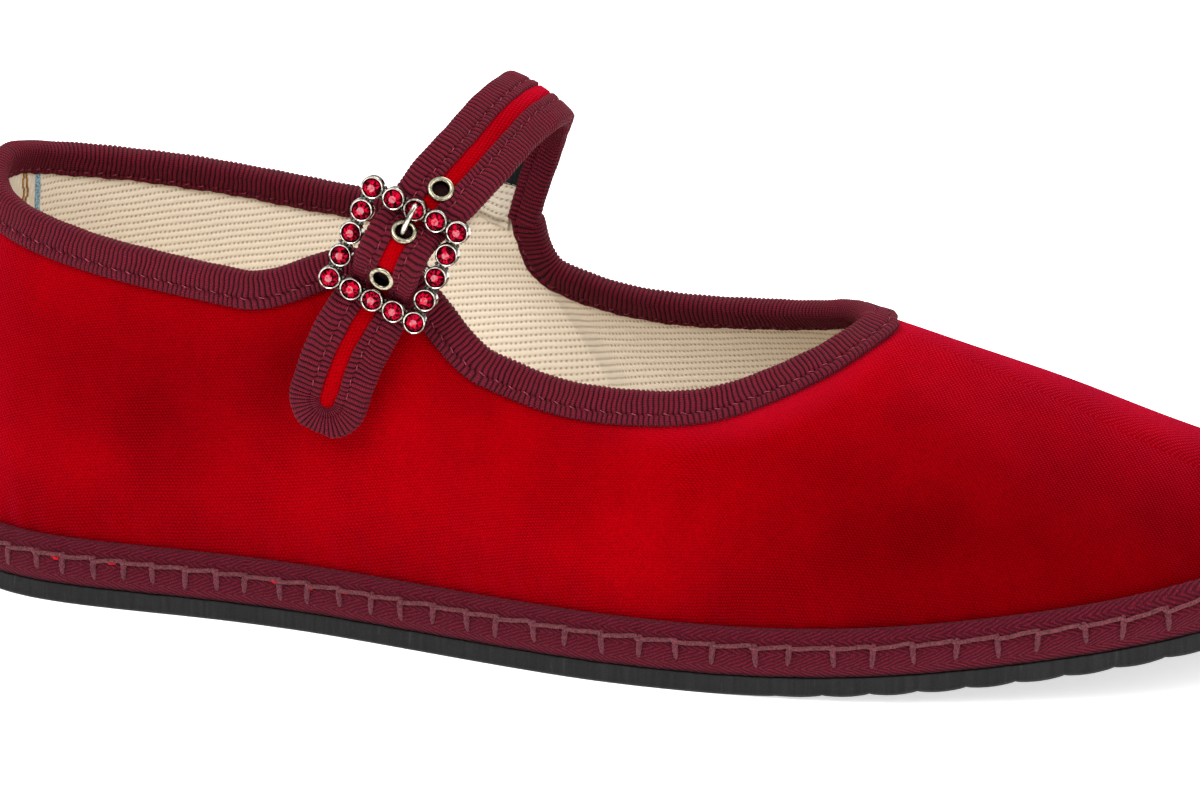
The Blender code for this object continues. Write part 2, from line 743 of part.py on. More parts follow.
def eyelets():
    """Turned metal rings through the strap, with a flange on each face."""
    near = EYELET_REACH - FLANGE_THICKNESS
    profile = ((EYELET_HOLE, -EYELET_REACH), (EYELET_FLANGE, -EYELET_REACH), (EYELET_FLANGE, -near),
               (EYELET_TUBE, -near), (EYELET_TUBE, near), (EYELET_FLANGE, near),
               (EYELET_FLANGE - 0.3, EYELET_REACH), (EYELET_HOLE, EYELET_REACH))
    for number, place in enumerate(EYELET_PLACES, 1):
        run = BUCKLE_RUN - place
        centre, axis = strap(run, 0.0, 0.0), strap(run, 0.0, 1.0) - strap(run, 0.0, 0.0)
        turned(f"eyelet_{number}", profile, centre, axis, EYELET_SIDES,
               finish(f"dark nickel eyelet {number}", (0.30, 0.28, 0.24), 0.3, 1.0))


# ---------------------------------------------------------------- buckle pieces

def stone_places():
    """Where the stones sit round the frame, from the back top corner round by the toe side."""
    last = STONES_A_SIDE - 1
    ring = [(step, 0) for step in range(last)] + [(last, step) for step in range(last)]
    ring += [(last - step, last) for step in range(last)] + [(0, last - step) for step in range(last)]
    return [((column / last - 0.5) * BUCKLE_WIDTH, (0.5 - row / last) * BUCKLE_HEIGHT) for column, row in ring]


def buckle_frame():
    """Sixteen cups joined by thin rails into a square."""
    metal = finish("silver frame", (0.62, 0.60, 0.57), 0.2, 1.0)
    half_width, half_height = BUCKLE_WIDTH / 2, BUCKLE_HEIGHT / 2
    corners = ((-half_width, half_height), (half_width, half_height), (half_width, -half_height),
               (-half_width, -half_height))
    sections = []
    for across, height in corners:
        reach_x, reach_y = math.copysign(RAIL_WIDTH / 2, across), math.copysign(RAIL_WIDTH / 2, height)
        sections.append([on_buckle(across - reach_x, height - reach_y, RAIL_BACK),
                         on_buckle(across + reach_x, height + reach_y, RAIL_BACK),
                         on_buckle(across + reach_x, height + reach_y, RAIL_BACK + RAIL_HEIGHT),
                         on_buckle(across - reach_x, height - reach_y, RAIL_BACK + RAIL_HEIGHT)])
    frame = loft("buckle_frame", sections, metal, ring=True)
    floor = CUP_HEIGHT - CUP_DEPTH
    profile = ((0, 0.0), (CUP_RADIUS, 0.0), (CUP_RADIUS - 0.15, CUP_HEIGHT), (CUP_HOLLOW, CUP_HEIGHT),
               (CUP_HOLLOW, floor), (0, floor))
    cups = [turned("cup", profile, on_buckle(*place, 0.0), buckle_axes()[2], CUP_SIDES, metal)
            for place in stone_places()]
    combine(frame, cups, "UNION")


def stones():
    """Cut glass stones, each sitting in its cup."""
    floor = CUP_HEIGHT - CUP_DEPTH + GAP
    crown = CUP_HEIGHT + STONE_CROWN
    profile = ((0, floor), (STONE_RADIUS, CUP_HEIGHT - STONE_GIRDLE_DROP), (STONE_TABLE, crown), (0, crown))
    for number, place in enumerate(stone_places(), 1):
        turned(f"stone_{number:02d}", profile, on_buckle(*place, 0.0), buckle_axes()[2], STONE_SIDES,
               finish(f"red glass {number}", (0.5, 0.0, 0.02), 0.05))


def tube(name, points, radius, sides, material):
    """A round wire along a line of points, capped at its ends."""
    along_bar = buckle_axes()[0]
    sections = []
    for number, point in enumerate(points):
        before, after = points[max(number - 1, 0)], points[min(number + 1, len(points) - 1)]
        ahead = unit(after - before)
        if abs(np.dot(ahead, along_bar)) > 0.9:
            side = buckle_axes()[1]
        else:
            side = along_bar
        side = unit(side - ahead * np.dot(side, ahead))
        other = np.cross(ahead, side)
        angles = [2 * math.pi * step / sides for step in range(sides)]
        round_way = [math.cos(angle) * side + math.sin(angle) * other for angle in angles]
        sections.append([point + radius * way for way in round_way])
    loft(name, sections, material, sharp=60.0)


def buckle_bar():
    """The bar across the middle of the frame, behind the strap."""
    reach = BUCKLE_WIDTH / 2 - CUP_RADIUS - GAP
    ends = [on_buckle(-reach, 0.0, -BAR_DROP), on_buckle(reach, 0.0, -BAR_DROP)]
    tube("buckle_bar", ends, BAR_RADIUS, BAR_SIDES, finish("silver bar", (0.62, 0.60, 0.57), 0.25, 1.0))


def buckle_prong():
    """A wire hooked round the bar, up through an eyelet and over the frame's top side."""
    route = []
    for degrees in PRONG_HOOK_ARC:
        angle = math.radians(degrees)
        route.append((PRONG_HOOK * math.sin(angle), PRONG_HOOK * math.cos(angle) - BAR_DROP))
    curve = smooth_rows([*route, *PRONG_ROUTE], ring=False)
    count = len(route) + len(PRONG_ROUTE)
    spots = [curve(step / 2) for step in range(2 * count - 1)]
    points = [on_buckle(0.0, height, distance) for height, distance in spots]
    tube("buckle_prong", points, PRONG_RADIUS, PRONG_SIDES, finish("silver prong", (0.62, 0.60, 0.57), 0.2, 1.0))


def buckle_keepers():
    """Two narrow loops that hold the bar to the top of the tab, one each side of the prong."""
    cloth = finish("burgundy keeper", (0.10, 0.01, 0.025), 0.85)
    bar = np.array([0.0, -BAR_DROP])
    away = unit(np.array(KEEPER_END) - bar)
    side = np.array([-away[1], away[0]])
    outline = []
    for radius, order in ((KEEPER_RADIUS + KEEPER_THICKNESS / 2, 1), (KEEPER_RADIUS - KEEPER_THICKNESS / 2, -1)):
        angles = np.radians(np.linspace(*KEEPER_ARC, KEEPER_STEPS + 1))[::order]
        arc = [bar + radius * (math.cos(angle) * away + math.sin(angle) * side) for angle in angles]
        spread = KEEPER_SPREAD + (KEEPER_THICKNESS if radius > KEEPER_RADIUS else 0.0)
        legs = [np.array(KEEPER_END) + sign * spread * side for sign in (order, -order)]
        outline += [legs[0], *arc, legs[1]]
    for number, offset in enumerate((-KEEPER_OFFSET, KEEPER_OFFSET), 1):
        sections = [[on_buckle(offset + edge, *spot) for spot in outline]
                    for edge in (-KEEPER_WIDTH / 2, KEEPER_WIDTH / 2)]
        loft(f"buckle_keeper_{number}", sections, cloth)


def main():
    for old in list(bpy.data.objects):
        bpy.data.objects.remove(old)
    outsole()
    plate("midsole", MIDSOLE_INSET, 0.0, MIDSOLE_BOTTOM, MIDSOLE_TOP, 0.0,
          finish("layered cloth", (0.5, 0.42, 0.32), 0.9))
    sole_tape()
    plate("insole", INSOLE_INSET, INSOLE_TOE_CUT, MIDSOLE_TOP + GAP, MIDSOLE_TOP + GAP + INSOLE_THICKNESS,
          INSOLE_CUP, finish("cream insole", (0.78, 0.68, 0.52), 0.9))
    upper()
    collar_binding()
    strap_core()
    strap_binding()
    eyelets()
    buckle_frame()
    stones()
    buckle_bar()
    buckle_prong()
    buckle_keepers()


main()
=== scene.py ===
"""The looks of a velvet mary jane shoe for a right foot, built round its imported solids.

Lengths in the tables are millimetres from the floor under the back of the heel: X to the toe,
Y to the inner side of the foot, Z up. The solids stand HEEL_REST_X further back.
"""

import copy
import math

import bpy
import numpy as np
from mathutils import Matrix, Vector


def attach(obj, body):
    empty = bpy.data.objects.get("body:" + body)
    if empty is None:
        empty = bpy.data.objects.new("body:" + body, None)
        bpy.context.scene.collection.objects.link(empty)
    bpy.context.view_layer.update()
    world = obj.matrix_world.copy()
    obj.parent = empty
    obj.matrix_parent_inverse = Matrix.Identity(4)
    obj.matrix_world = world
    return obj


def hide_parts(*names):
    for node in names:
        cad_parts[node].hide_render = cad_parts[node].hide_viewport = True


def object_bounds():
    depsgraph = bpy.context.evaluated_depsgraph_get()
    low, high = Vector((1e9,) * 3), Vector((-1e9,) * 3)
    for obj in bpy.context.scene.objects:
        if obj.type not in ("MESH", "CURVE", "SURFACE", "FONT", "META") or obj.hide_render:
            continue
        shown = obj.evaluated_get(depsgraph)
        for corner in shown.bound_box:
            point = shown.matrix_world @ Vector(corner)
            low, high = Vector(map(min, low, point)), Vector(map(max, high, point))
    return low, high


bl_info = {
    "name": "Velvet Mary Jane",
    "version": (1, 0, 0),
    "blender": (4, 5, 0),
    "location": "View3D > Sidebar > Shoe",
    "description": "Dresses the solids of a velvet mary jane with cloth, ribbon, thread, metal and glass",
    "category": "Object",
}

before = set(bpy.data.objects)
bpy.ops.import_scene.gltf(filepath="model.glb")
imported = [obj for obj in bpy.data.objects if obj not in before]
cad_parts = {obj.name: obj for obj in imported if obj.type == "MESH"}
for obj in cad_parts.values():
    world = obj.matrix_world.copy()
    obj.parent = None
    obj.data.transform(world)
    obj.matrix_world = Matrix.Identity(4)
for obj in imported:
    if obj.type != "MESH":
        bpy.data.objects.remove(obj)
CAD_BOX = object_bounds()

MM = 0.001
CLOTH_MAP = "cloth"
HEEL_REST_X = 30.0
ORIGIN = np.array([HEEL_REST_X, 0.0, 0.0])
UP = np.array([0.0, 0.0, 1.0])

# ---------------------------------------------------------------- sizes shared with the solids

SOLE_LENGTH = 243.5
RUBBER = 3.3
GAP = 0.3
MIDSOLE_TOP = 8.0
INSOLE_THICKNESS = 2.4
INSOLE_CUP = 0.6
INSOLE_TOE_CUT = 7.0
TOE_TRIM = (185.0, 222.0)
TOE_SPRING = 14.5
SPRING_START = 140.0
SPRING_POWER = 1.75
ARCH_RISE = 1.5
ARCH = (50.0, 82.0, 105.0, 140.0)
TREAD_PITCH = 7.5
TREAD_START = 11.25
TREAD_END = 236.0
TREAD_OPEN = 145.0
GROOVE_WIDTH = 2.0
GROOVE_DEPTH = 0.9
EDGE_CHAMFER = 0.5

TAPE_OUTSIDE = ((0.0, 3.6), (0.5, 5.6), (0.4, 8.2))
TAPE_LAP = ((1.9, 2.1), (2.9, 1.3), (2.8, 0.3))
TAPE_INSIDE = ((-1.1, 8.0), (-1.2, 3.6))

WALL = 2.0
RIM_WALL = 1.3
RIM_TAPER = 8.0
FEATHER_INSET = 2.8
FEATHER_HEIGHT = MIDSOLE_TOP + GAP
FEATHER_LEAN = 9.0
# Millimetres outward that steady the level way from the rim to the foot
RUN_OUTWARD = 10.0
INSOLE_INSET = FEATHER_INSET + WALL + 0.9

RIBBON = 0.6
BINDING_GAP = 0.5

# The upper's sections round the shoe from the back of the heel by the outer side to the toe
STATIONS = (
    # sole_x, sole_y, rim_x, rim_y, rim_z, fall, rise, reach
    (0.0, 0.0, 9.7, 0.0, 66.8, 70, 18, 18),
    (4.6, -15.0, 12.0, -9.6, 64.9, 71, 18, 18),
    (17.0, -27.3, 20.2, -17.2, 62.7, 72, 18, 18),
    (34.5, -30.6, 34.0, -21.8, 60.6, 73, 18, 18),
    (53.0, -30.3, 50.0, -23.8, 58.9, 74, 18, 18),
    (71.5, -30.9, 66.5, -24.6, 57.2, 74, 17, 17),
    (89.5, -33.2, 82.5, -25.0, 54.6, 70, 16, 15),
    (107.5, -35.8, 98.0, -24.8, 50.4, 62, 15, 14),
    (125.0, -37.5, 112.5, -24.0, 45.3, 54, 14, 13),
    (142.0, -37.2, 126.5, -23.9, 44.3, 47, 14, 13),
    (158.5, -36.0, 138.5, -22.0, 45.4, 41, 14, 14),
    (174.5, -33.5, 147.3, -17.2, 48.0, 34, 14, 18),
    (190.0, -29.6, 153.2, -11.7, 50.1, 26, 12.3, 21),
    (205.0, -25.0, 156.6, -6.9, 51.7, 19, 9, 23),
    (219.5, -18.2, 158.3, -3.1, 52.4, 15.5, 5.6, 21),
    (232.5, -8.0, 158.8, -1.0, 52.6, 14.5, 3.8, 21),
    (241.5, 4.0, 158.9, 0.8, 52.6, 14, 2.5, 20),
    (242.5, 18.0, 158.7, 2.6, 52.4, 14.5, 2.1, 19),
    (235.5, 29.5, 157.6, 5.6, 51.9, 16.5, 2.1, 17),
    (222.0, 37.0, 155.4, 9.6, 51.0, 21, 3.8, 17),
    (205.0, 41.5, 151.6, 14.4, 49.4, 28.5, 7.8, 16),
    (187.0, 43.5, 145.2, 19.0, 47.1, 35, 11.4, 15.5),
    (169.0, 42.6, 135.0, 22.8, 45.1, 43, 14, 14),
    (151.0, 39.4, 123.0, 24.0, 44.2, 49, 14, 13),
    (133.0, 35.2, 110.5, 24.4, 44.7, 56, 14, 13),
    (115.0, 31.2, 97.5, 24.9, 48.1, 63, 15, 14),
    (96.5, 28.6, 84.0, 25.2, 53.6, 70, 16, 15),
    (78.0, 27.6, 70.0, 25.0, 56.4, 74, 17, 17),
    (59.0, 28.0, 54.0, 24.2, 58.3, 74, 18, 18),
    (40.0, 29.3, 37.0, 22.6, 60.4, 73, 18, 18),
    (20.0, 27.6, 21.5, 17.9, 62.5, 72, 18, 18),
    (5.6, 16.2, 12.4, 10.1, 64.9, 71, 18, 18),
)
TOE_ROW = 16
TAB = {"start": 60.0, "full": 82.0, "end_full": 89.0, "end": 103.0, "rise": 8.5}
ROOT = {"start": 77.5, "back": 83.5, "front": 94.9, "end": 100.1, "back_rise": 4.9, "front_rise": 8.0}
ROOT_POWER = 3.0
ROOT_LEAN = (0.12, -0.3, 0.95)

BUCKLE_CENTRE = (88.1, -28.7, 66.2)
BUCKLE_DIP = 23.5
BUCKLE_TILT = 8.3
STONES_A_SIDE = 5
BUCKLE_WIDTH = 15.5
BUCKLE_HEIGHT = 16.6
CUP_RADIUS = 1.9
CUP_HEIGHT = 1.8
CUP_HOLLOW = 1.5
CUP_DEPTH = 1.1
STONE_RADIUS = 1.38
BAR_RADIUS = 0.6
BAR_DROP = 0.35

STRAP_ABOVE = (
    # x, y, z, dip, turn
    (90.2, 22.4, 58.2, 16, -10),
    (91.4, 22.3, 62.6, 21, -8),
    (93.1, 21.6, 67.6, 26, -4),
    (95.3, 19.9, 73.2, 30, -1),
    (97.6, 16.2, 77.8, 31, 0),
    (99.7, 11.0, 81.2, 31, 0),
    (100.5, 4.8, 82.9, 31, 0),
    (99.9, -2.0, 83.0, 30, 0),
    (98.8, -8.6, 81.8, 29, 0),
    (97.5, -15.0, 79.9, 28, 0),
    (95.8, -20.0, 77.7, 27, 0),
)
STRAP_IN_BUCKLE = (
    # across to the toe, height above the bar, distance out
    (1.3, 9.6, -2.2),
    (0.4, 6.4, -1.95),
    (0.0, 3.5, 0.8),
    (0.0, 0.0, 2.5),
    (0.0, -3.5, 0.8),
    (0.0, -6.2, -1.7),
    (0.0, -9.2, -2.0),
)
STRAP_BELOW = (
    # x, y, z, dip, turn
    (80.7, -30.9, 50.6, 24, 0),
    (78.2, -32.3, 43.2, 24, 0),
    (75.9, -32.9, 36.4, 24, 0),
)
STRAP_CORE = 0.8
STRAP_HALF_WIDTH = 5.7
STRIPE_HALF_WIDTH = 1.35
SQUEEZE = {"depth": 1.0, "full": 6.8, "end": 15.0}

EYELET_PLACES = (13.7, 4.0, -4.2)
EYELET_HOLE = 1.3
EYELET_TUBE = 1.65
EYELET_FLANGE = 2.2
EYELET_REACH = 1.75

PRONG_RADIUS = 0.45
PRONG_HOOK = 1.3
PRONG_HOOK_ARC = (280, 256, 232, 208, 184, 160)
PRONG_ROUTE = ((1.6, -1.7), (2.6, -1.0), (3.4, 0.7), (4.2, 2.4), (6.0, 3.2), (8.0, 3.3), (9.3, 3.0))
KEEPER_THICKNESS = 0.4
KEEPER_RADIUS = 1.05
KEEPER_WIDTH = 3.4
KEEPER_OFFSET = 3.4
KEEPER_END = (-2.0, -5.0)
KEEPER_ARC = (60, 300)
KEEPER_SPREAD = 0.15


# ---------------------------------------------------------------- curves

def ease(value, start, end):
    """0 before start, 1 after end, and a smooth step between them."""
    part = np.clip((np.asarray(value, float) - start) / (end - start), 0.0, 1.0)
    return part * part * (3 - 2 * part)


def unit(vector):
    return vector / np.linalg.norm(vector, axis=-1, keepdims=True)


def smooth_rows(rows, ring=False):
    """A function of row numbers that runs smoothly through the rows, round a ring or end to end."""
    values = np.array(rows, float)
    count = len(values)
    system = 4 * np.eye(count) + np.eye(count, k=1) + np.eye(count, k=-1)
    change = np.roll(values, -1, 0) - 2 * values + np.roll(values, 1, 0)
    if ring:
        system[0, -1] = system[-1, 0] = 1
    else:
        system[0] = system[-1] = 0
        system[0, 0] = system[-1, -1] = 1
        change[0] = change[-1] = 0
    bend = np.linalg.solve(system, 6 * change)

    def at(place):
        place = np.asarray(place, float)
        start = np.floor(place).astype(int)
        if not ring:
            start = np.clip(start, 0, count - 2)
        part = (place - start)[..., None]
        here, after, rest = start % count, (start + 1) % count, 1 - part
        line = rest * values[here] + part * values[after]
        return line + ((rest ** 3 - rest) * bend[here] + (part ** 3 - part) * bend[after]) / 6

    return at


def run_along(points):
    """How far along a line of points each point is."""
    steps = np.linalg.norm(np.diff(points, axis=0), axis=-1)
    return np.concatenate([[0.0], np.cumsum(steps)])


def ripple(*terms):
    """A wavy number between about -1 and 1 from a few sums, smooth and the same each time."""
    return sum(np.sin(term + 1.7 * number) for number, term in enumerate(terms)) / len(terms)


def crowded(start, end, count):
    """Numbers from start to end that lie closer together at both ends."""
    return start + (end - start) * (1 - np.cos(np.pi * np.arange(count) / (count - 1))) / 2


def both_ways(columns):
    """Columns there and back over a folded sheet, and the first of them again."""
    return np.concatenate([columns, columns[:, ::-1], columns[:, :1]], axis=1)


def folded(far, near):
    """Closed sections from the points of a sheet's two faces."""
    return np.concatenate([far, near[:, ::-1]], axis=1)


station = smooth_rows(STATIONS, ring=True)


# ---------------------------------------------------------------- sole shape

def ground(x, y):
    """Height of the sole's underside over the floor: toe spring, and the arch's inner edge."""
    spring = np.maximum(x - SPRING_START, 0.0) / (SOLE_LENGTH - SPRING_START)
    arch = ease(x, ARCH[0], ARCH[1]) * (1 - ease(x, ARCH[2], ARCH[3])) * ease(y, 4.0, 28.0)
    return TOE_SPRING * spring ** SPRING_POWER + ARCH_RISE * arch


def outward(place):
    """The level direction square to the sole's outline."""
    step = 0.02
    along = station(place + step) - station(place - step)
    out = np.stack([along[..., 1], -along[..., 0], np.zeros(np.shape(place))], -1)
    return unit(out)


def on_outline(place, offset, height):
    """A point beside the outline: offset outward, at a height over the sole's underside."""
    row = station(place)
    level = ground(row[..., 0], row[..., 1])
    point = np.stack([row[..., 0], row[..., 1], np.zeros_like(level)], -1)
    point = point + outward(place) * np.asarray(offset, float)[..., None]
    point[..., 2] = height + level
    return point


def outline_widths(inset):
    """The two sides of the outline, moved in by inset, as functions of x, with its two ends."""
    points = on_outline(np.arange(16 * len(STATIONS)) / 16, -inset, 0.0)
    first, last = points[:, 0].argmin(), points[:, 0].argmax()
    ring = np.roll(points, -first, axis=0)
    turn = (last - first) % len(points)
    outer = ring[:turn + 1]
    inner = np.vstack([ring[turn:], ring[:1]])[::-1]

    def widths(x):
        return np.interp(x, outer[:, 0], outer[:, 1]), np.interp(x, inner[:, 0], inner[:, 1])

    return widths, points[first, 0], points[last, 0]


# ---------------------------------------------------------------- upper's wall

def rim_rise(place):
    """How far the collar is drawn on above its plain line, at the tab and at the strap's root."""
    x = station(place)[..., 2]
    tab = TAB["rise"] * ease(x, TAB["start"], TAB["full"]) * (1 - ease(x, TAB["end_full"], TAB["end"]))
    back = np.clip((x - ROOT["start"]) / (ROOT["back"] - ROOT["start"]), 0, 1) ** ROOT_POWER
    front = np.clip((ROOT["end"] - x) / (ROOT["end"] - ROOT["front"]), 0, 1) ** ROOT_POWER
    part = np.clip((x - ROOT["back"]) / (ROOT["front"] - ROOT["back"]), 0, 1)
    root = back * front * (ROOT["back_rise"] * (1 - part) + ROOT["front_rise"] * part)
    return np.where(np.asarray(place) % len(STATIONS) < TOE_ROW, tab, root)


def wall(place, height):
    """A point of the upper's outside: height runs from 0 at the sole to 1 at the collar's line."""
    place, height = np.broadcast_arrays(np.asarray(place, float), np.asarray(height, float))
    row, out = station(place), outward(place)
    foot = on_outline(place, -FEATHER_INSET, FEATHER_HEIGHT)
    rim = row[..., 2:5]
    run = (foot - rim) * np.array([1.0, 1.0, 0.0])
    run = unit(run + RUN_OUTWARD * out)
    lean, slope = math.radians(FEATHER_LEAN), np.radians(row[..., 5:6])
    above_foot = foot + row[..., 6:7] * (out * math.sin(lean) + UP * math.cos(lean))
    below_rim = rim + row[..., 7:8] * (run * np.cos(slope) - UP * np.sin(slope))
    part = height[..., None]
    rest = 1 - part
    curve = (rest ** 3 * foot + 3 * rest ** 2 * part * above_foot
             + 3 * rest * part ** 2 * below_rim + part ** 3 * rim)
    outer_side = (place % len(STATIONS) < TOE_ROW)[..., None]
    beyond = np.where(outer_side, rim - below_rim, row[..., 7:8] * unit(np.array(ROOT_LEAN)))
    return np.where(part > 1, rim + 3 * (part - 1) * beyond, curve)


def wall_top(place):
    """The height, in wall's terms, of the collar's real edge."""
    return 1 + rim_rise(place) / (3 * station(place)[..., 7])


def wall_slopes(place, height):
    """The wall's directions round the shoe and up, and the direction out of it."""
    step = 0.01
    along = (wall(place + step, height) - wall(place - step, height)) / (2 * step)
    upward = (wall(place, height + step) - wall(place, height - step)) / (2 * step)
    return along, upward, unit(np.cross(along, upward))


def wall_thickness(distance):
    """The wall's thickness at a distance down from the collar's edge."""
    return RIM_WALL + (WALL - RIM_WALL) * ease(distance, 0.0, RIM_TAPER)


SETTLE_STEPS = 4


def settle(point, place, height):
    """The place and height on the wall nearest to each point beside it, in a few steps of Newton's."""
    for _ in range(SETTLE_STEPS):
        along, upward, _ = wall_slopes(place, height)
        gap = point - wall(place, height)
        square_along, square_up = (along ** 2).sum(-1), (upward ** 2).sum(-1)
        mixed, gap_along, gap_up = (along * upward).sum(-1), (along * gap).sum(-1), (upward * gap).sum(-1)
        scale = square_along * square_up - mixed ** 2
        place = place + (gap_along * square_up - gap_up * mixed) / scale
        height = height + (gap_up * square_along - gap_along * mixed) / scale
    return place, height


def heights_at(place, lengths):
    """The heights, in wall's terms, that lie the given lengths up the wall from its foot."""
    steps = np.linspace(0, 0.6, 61)
    points = wall(place[:, None], steps[None, :])
    climbs = np.cumsum(np.linalg.norm(np.diff(points, axis=1), axis=-1), axis=1)
    climbs = np.concatenate([np.zeros((len(place), 1)), climbs], axis=1)
    return np.array([np.interp(lengths, climb, steps) for climb in climbs])


# ---------------------------------------------------------------- strap and buckle places

def buckle_axes():
    """The buckle's directions: along the bar to the toe, up the strap, and out from the foot."""
    dip, tilt = math.radians(BUCKLE_DIP), math.radians(BUCKLE_TILT)
    along = np.array([math.cos(dip), 0.0, -math.sin(dip)])
    straight_up = np.array([math.sin(dip), 0.0, math.cos(dip)])
    inward = np.array([0.0, 1.0, 0.0])
    upward = straight_up * math.cos(tilt) + inward * math.sin(tilt)
    out = straight_up * math.sin(tilt) - inward * math.cos(tilt)
    return along, upward, out


def on_buckle(across, height, distance):
    """A point given in the buckle's own directions, from the middle of the frame's back."""
    along, upward, out = buckle_axes()
    across, height, distance = (np.asarray(value, float)[..., None] for value in (across, height, distance))
    return np.array(BUCKLE_CENTRE) + across * along + height * upward + distance * out


STRAP_ROWS = ([*STRAP_ABOVE] + [(*on_buckle(*spot), BUCKLE_DIP, 0.0) for spot in STRAP_IN_BUCKLE]
              + [*STRAP_BELOW])
strap_line = smooth_rows(STRAP_ROWS)
STRAP_FINE = np.arange(0.0, len(STRAP_ROWS) - 1 + 0.01, 0.02)
STRAP_RUN = run_along(strap_line(STRAP_FINE)[:, :3])
STRAP_LENGTH = STRAP_RUN[-1]
BUCKLE_RUN = float(np.interp(len(STRAP_ABOVE) + len(STRAP_IN_BUCKLE) // 2, STRAP_FINE, STRAP_RUN))
EYELET_RUNS = tuple(BUCKLE_RUN - place for place in EYELET_PLACES)


def strap(run, across, lift):
    """A point of the strap: run along it, across it to the toe, and lifted out of its middle."""
    run, across, lift = np.broadcast_arrays(*(np.asarray(value, float) for value in (run, across, lift)))
    place = np.interp(run, STRAP_RUN, STRAP_FINE) + np.minimum(run, 0.0) * STRAP_FINE[1] / STRAP_RUN[1]
    step = 0.05
    centre = strap_line(place)
    ahead = unit(strap_line(place + step)[..., :3] - strap_line(place - step)[..., :3])
    dip, turn = np.radians(centre[..., 3]), np.radians(centre[..., 4])
    width = np.stack([np.cos(dip) * np.cos(turn), np.sin(turn), -np.sin(dip) * np.cos(turn)], -1)
    width = unit(width - ahead * (width * ahead).sum(-1, keepdims=True))
    out = unit(np.cross(width, ahead))
    return centre[..., :3] + across[..., None] * width + lift[..., None] * out


def strap_half_width(run):
    """Half the width of the band, which is squeezed together inside the buckle."""
    away = np.abs(run - BUCKLE_RUN)
    return STRAP_HALF_WIDTH - SQUEEZE["depth"] * (1 - ease(away, SQUEEZE["full"], SQUEEZE["end"]))


# ---------------------------------------------------------------- making pieces

def add_piece(name, points, faces, material, corners=None, sharp=60.0, smooth=True):
    """Keep a closed form, given in millimetres, as an object that belongs to the shoe."""
    points, faces = np.asarray(points, float).reshape(-1, 3), list(faces)
    volume = 0.0
    middle = points.mean(0)
    for group in faces:
        group = np.asarray(group)
        for last in range(2, group.shape[1]):
            fan = points[group[:, [0, last - 1, last]]] - middle
            volume += np.einsum("ij,ij->i", fan[:, 0], np.cross(fan[:, 1], fan[:, 2])).sum()
    listed = [face for group in faces for face in np.asarray(group).tolist()]
    if volume < 0:
        listed = [face[::-1] for face in listed]
    mesh = bpy.data.meshes.new(name)
    mesh.from_pydata(((points - ORIGIN) * MM).tolist(), [], listed)
    if corners is not None:
        flat = [np.asarray(group)[:, ::-1] if volume < 0 else np.asarray(group) for group in corners]
        layer = mesh.uv_layers.new(name=CLOTH_MAP)
        layer.uv.foreach_set("vector", np.concatenate([group.reshape(-1, 2) for group in flat])
                             .astype(np.float32).ravel())
    mesh.materials.append(material)
    if smooth:
        mesh.shade_smooth()
        if sharp:
            mesh.set_sharp_from_angle(angle=math.radians(sharp))
    piece = bpy.data.objects.new(name, mesh)
    bpy.context.scene.collection.objects.link(piece)
    return piece


def quads(number, ring=False):
    """Four-sided faces between rows of numbered points, each row a ring."""
    here, after = (number, np.roll(number, -1, 0)) if ring else (number[:-1], number[1:])
    return np.stack([here, np.roll(here, -1, 1), np.roll(after, -1, 1), after], -1).reshape(-1, 4)


def closing_fans(number):
    """Triangles that close the first and the last row of numbered points."""
    first, last = number[0], number[-1]
    steps = range(1, len(first) - 1)
    return np.array([[first[0], first[step + 1], first[step]] for step in steps]
                    + [[last[0], last[step], last[step + 1]] for step in steps])


def skin_faces(rows, columns, ring):
    """Faces of a run of closed sections. An open run's ends are closed from leg to leg."""
    number = np.arange(rows * columns).reshape(rows, columns)
    sides = quads(number, ring)
    if ring:
        return [sides]
    leg = np.arange(columns // 2 - 1)
    back = columns - 1 - leg
    first, last = number[0], number[-1]
    start_cap = np.stack([first[leg + 1], first[leg], first[back], first[back - 1]], -1)
    end_cap = np.stack([last[leg], last[leg + 1], last[back - 1], last[back]], -1)
    return [sides, start_cap, end_cap]


def skin(name, grid, material, ring=False, along=None, across=None, sharp=60.0):
    """A piece skinned over closed sections, with its cloth's own lengths along and across."""
    rows, columns = grid.shape[:2]
    faces = skin_faces(rows, columns, ring)
    corners = None
    if along is not None:
        along = np.broadcast_to(along[:, None] if along.ndim == 1 else along,
                                (rows + ring, columns + 1))
        across = np.broadcast_to(across, (rows + ring, columns + 1))
        cloth = np.stack([along, across], -1)
        body = np.stack([cloth[:-1, :-1], cloth[:-1, 1:], cloth[1:, 1:], cloth[1:, :-1]], -2)
        corners = [body.reshape(-1, 4, 2)]
        if not ring:
            leg = np.arange(columns // 2 - 1)
            for row, order in ((0, (1, 0, -1, -2)), (-1, (0, 1, -2, -1))):
                spots = [leg + step if step >= 0 else columns + step - leg for step in order]
                corners.append(np.stack([cloth[row][spot] for spot in spots], -2))
    return add_piece(name, grid.reshape(-1, 3), faces, material, corners, sharp)


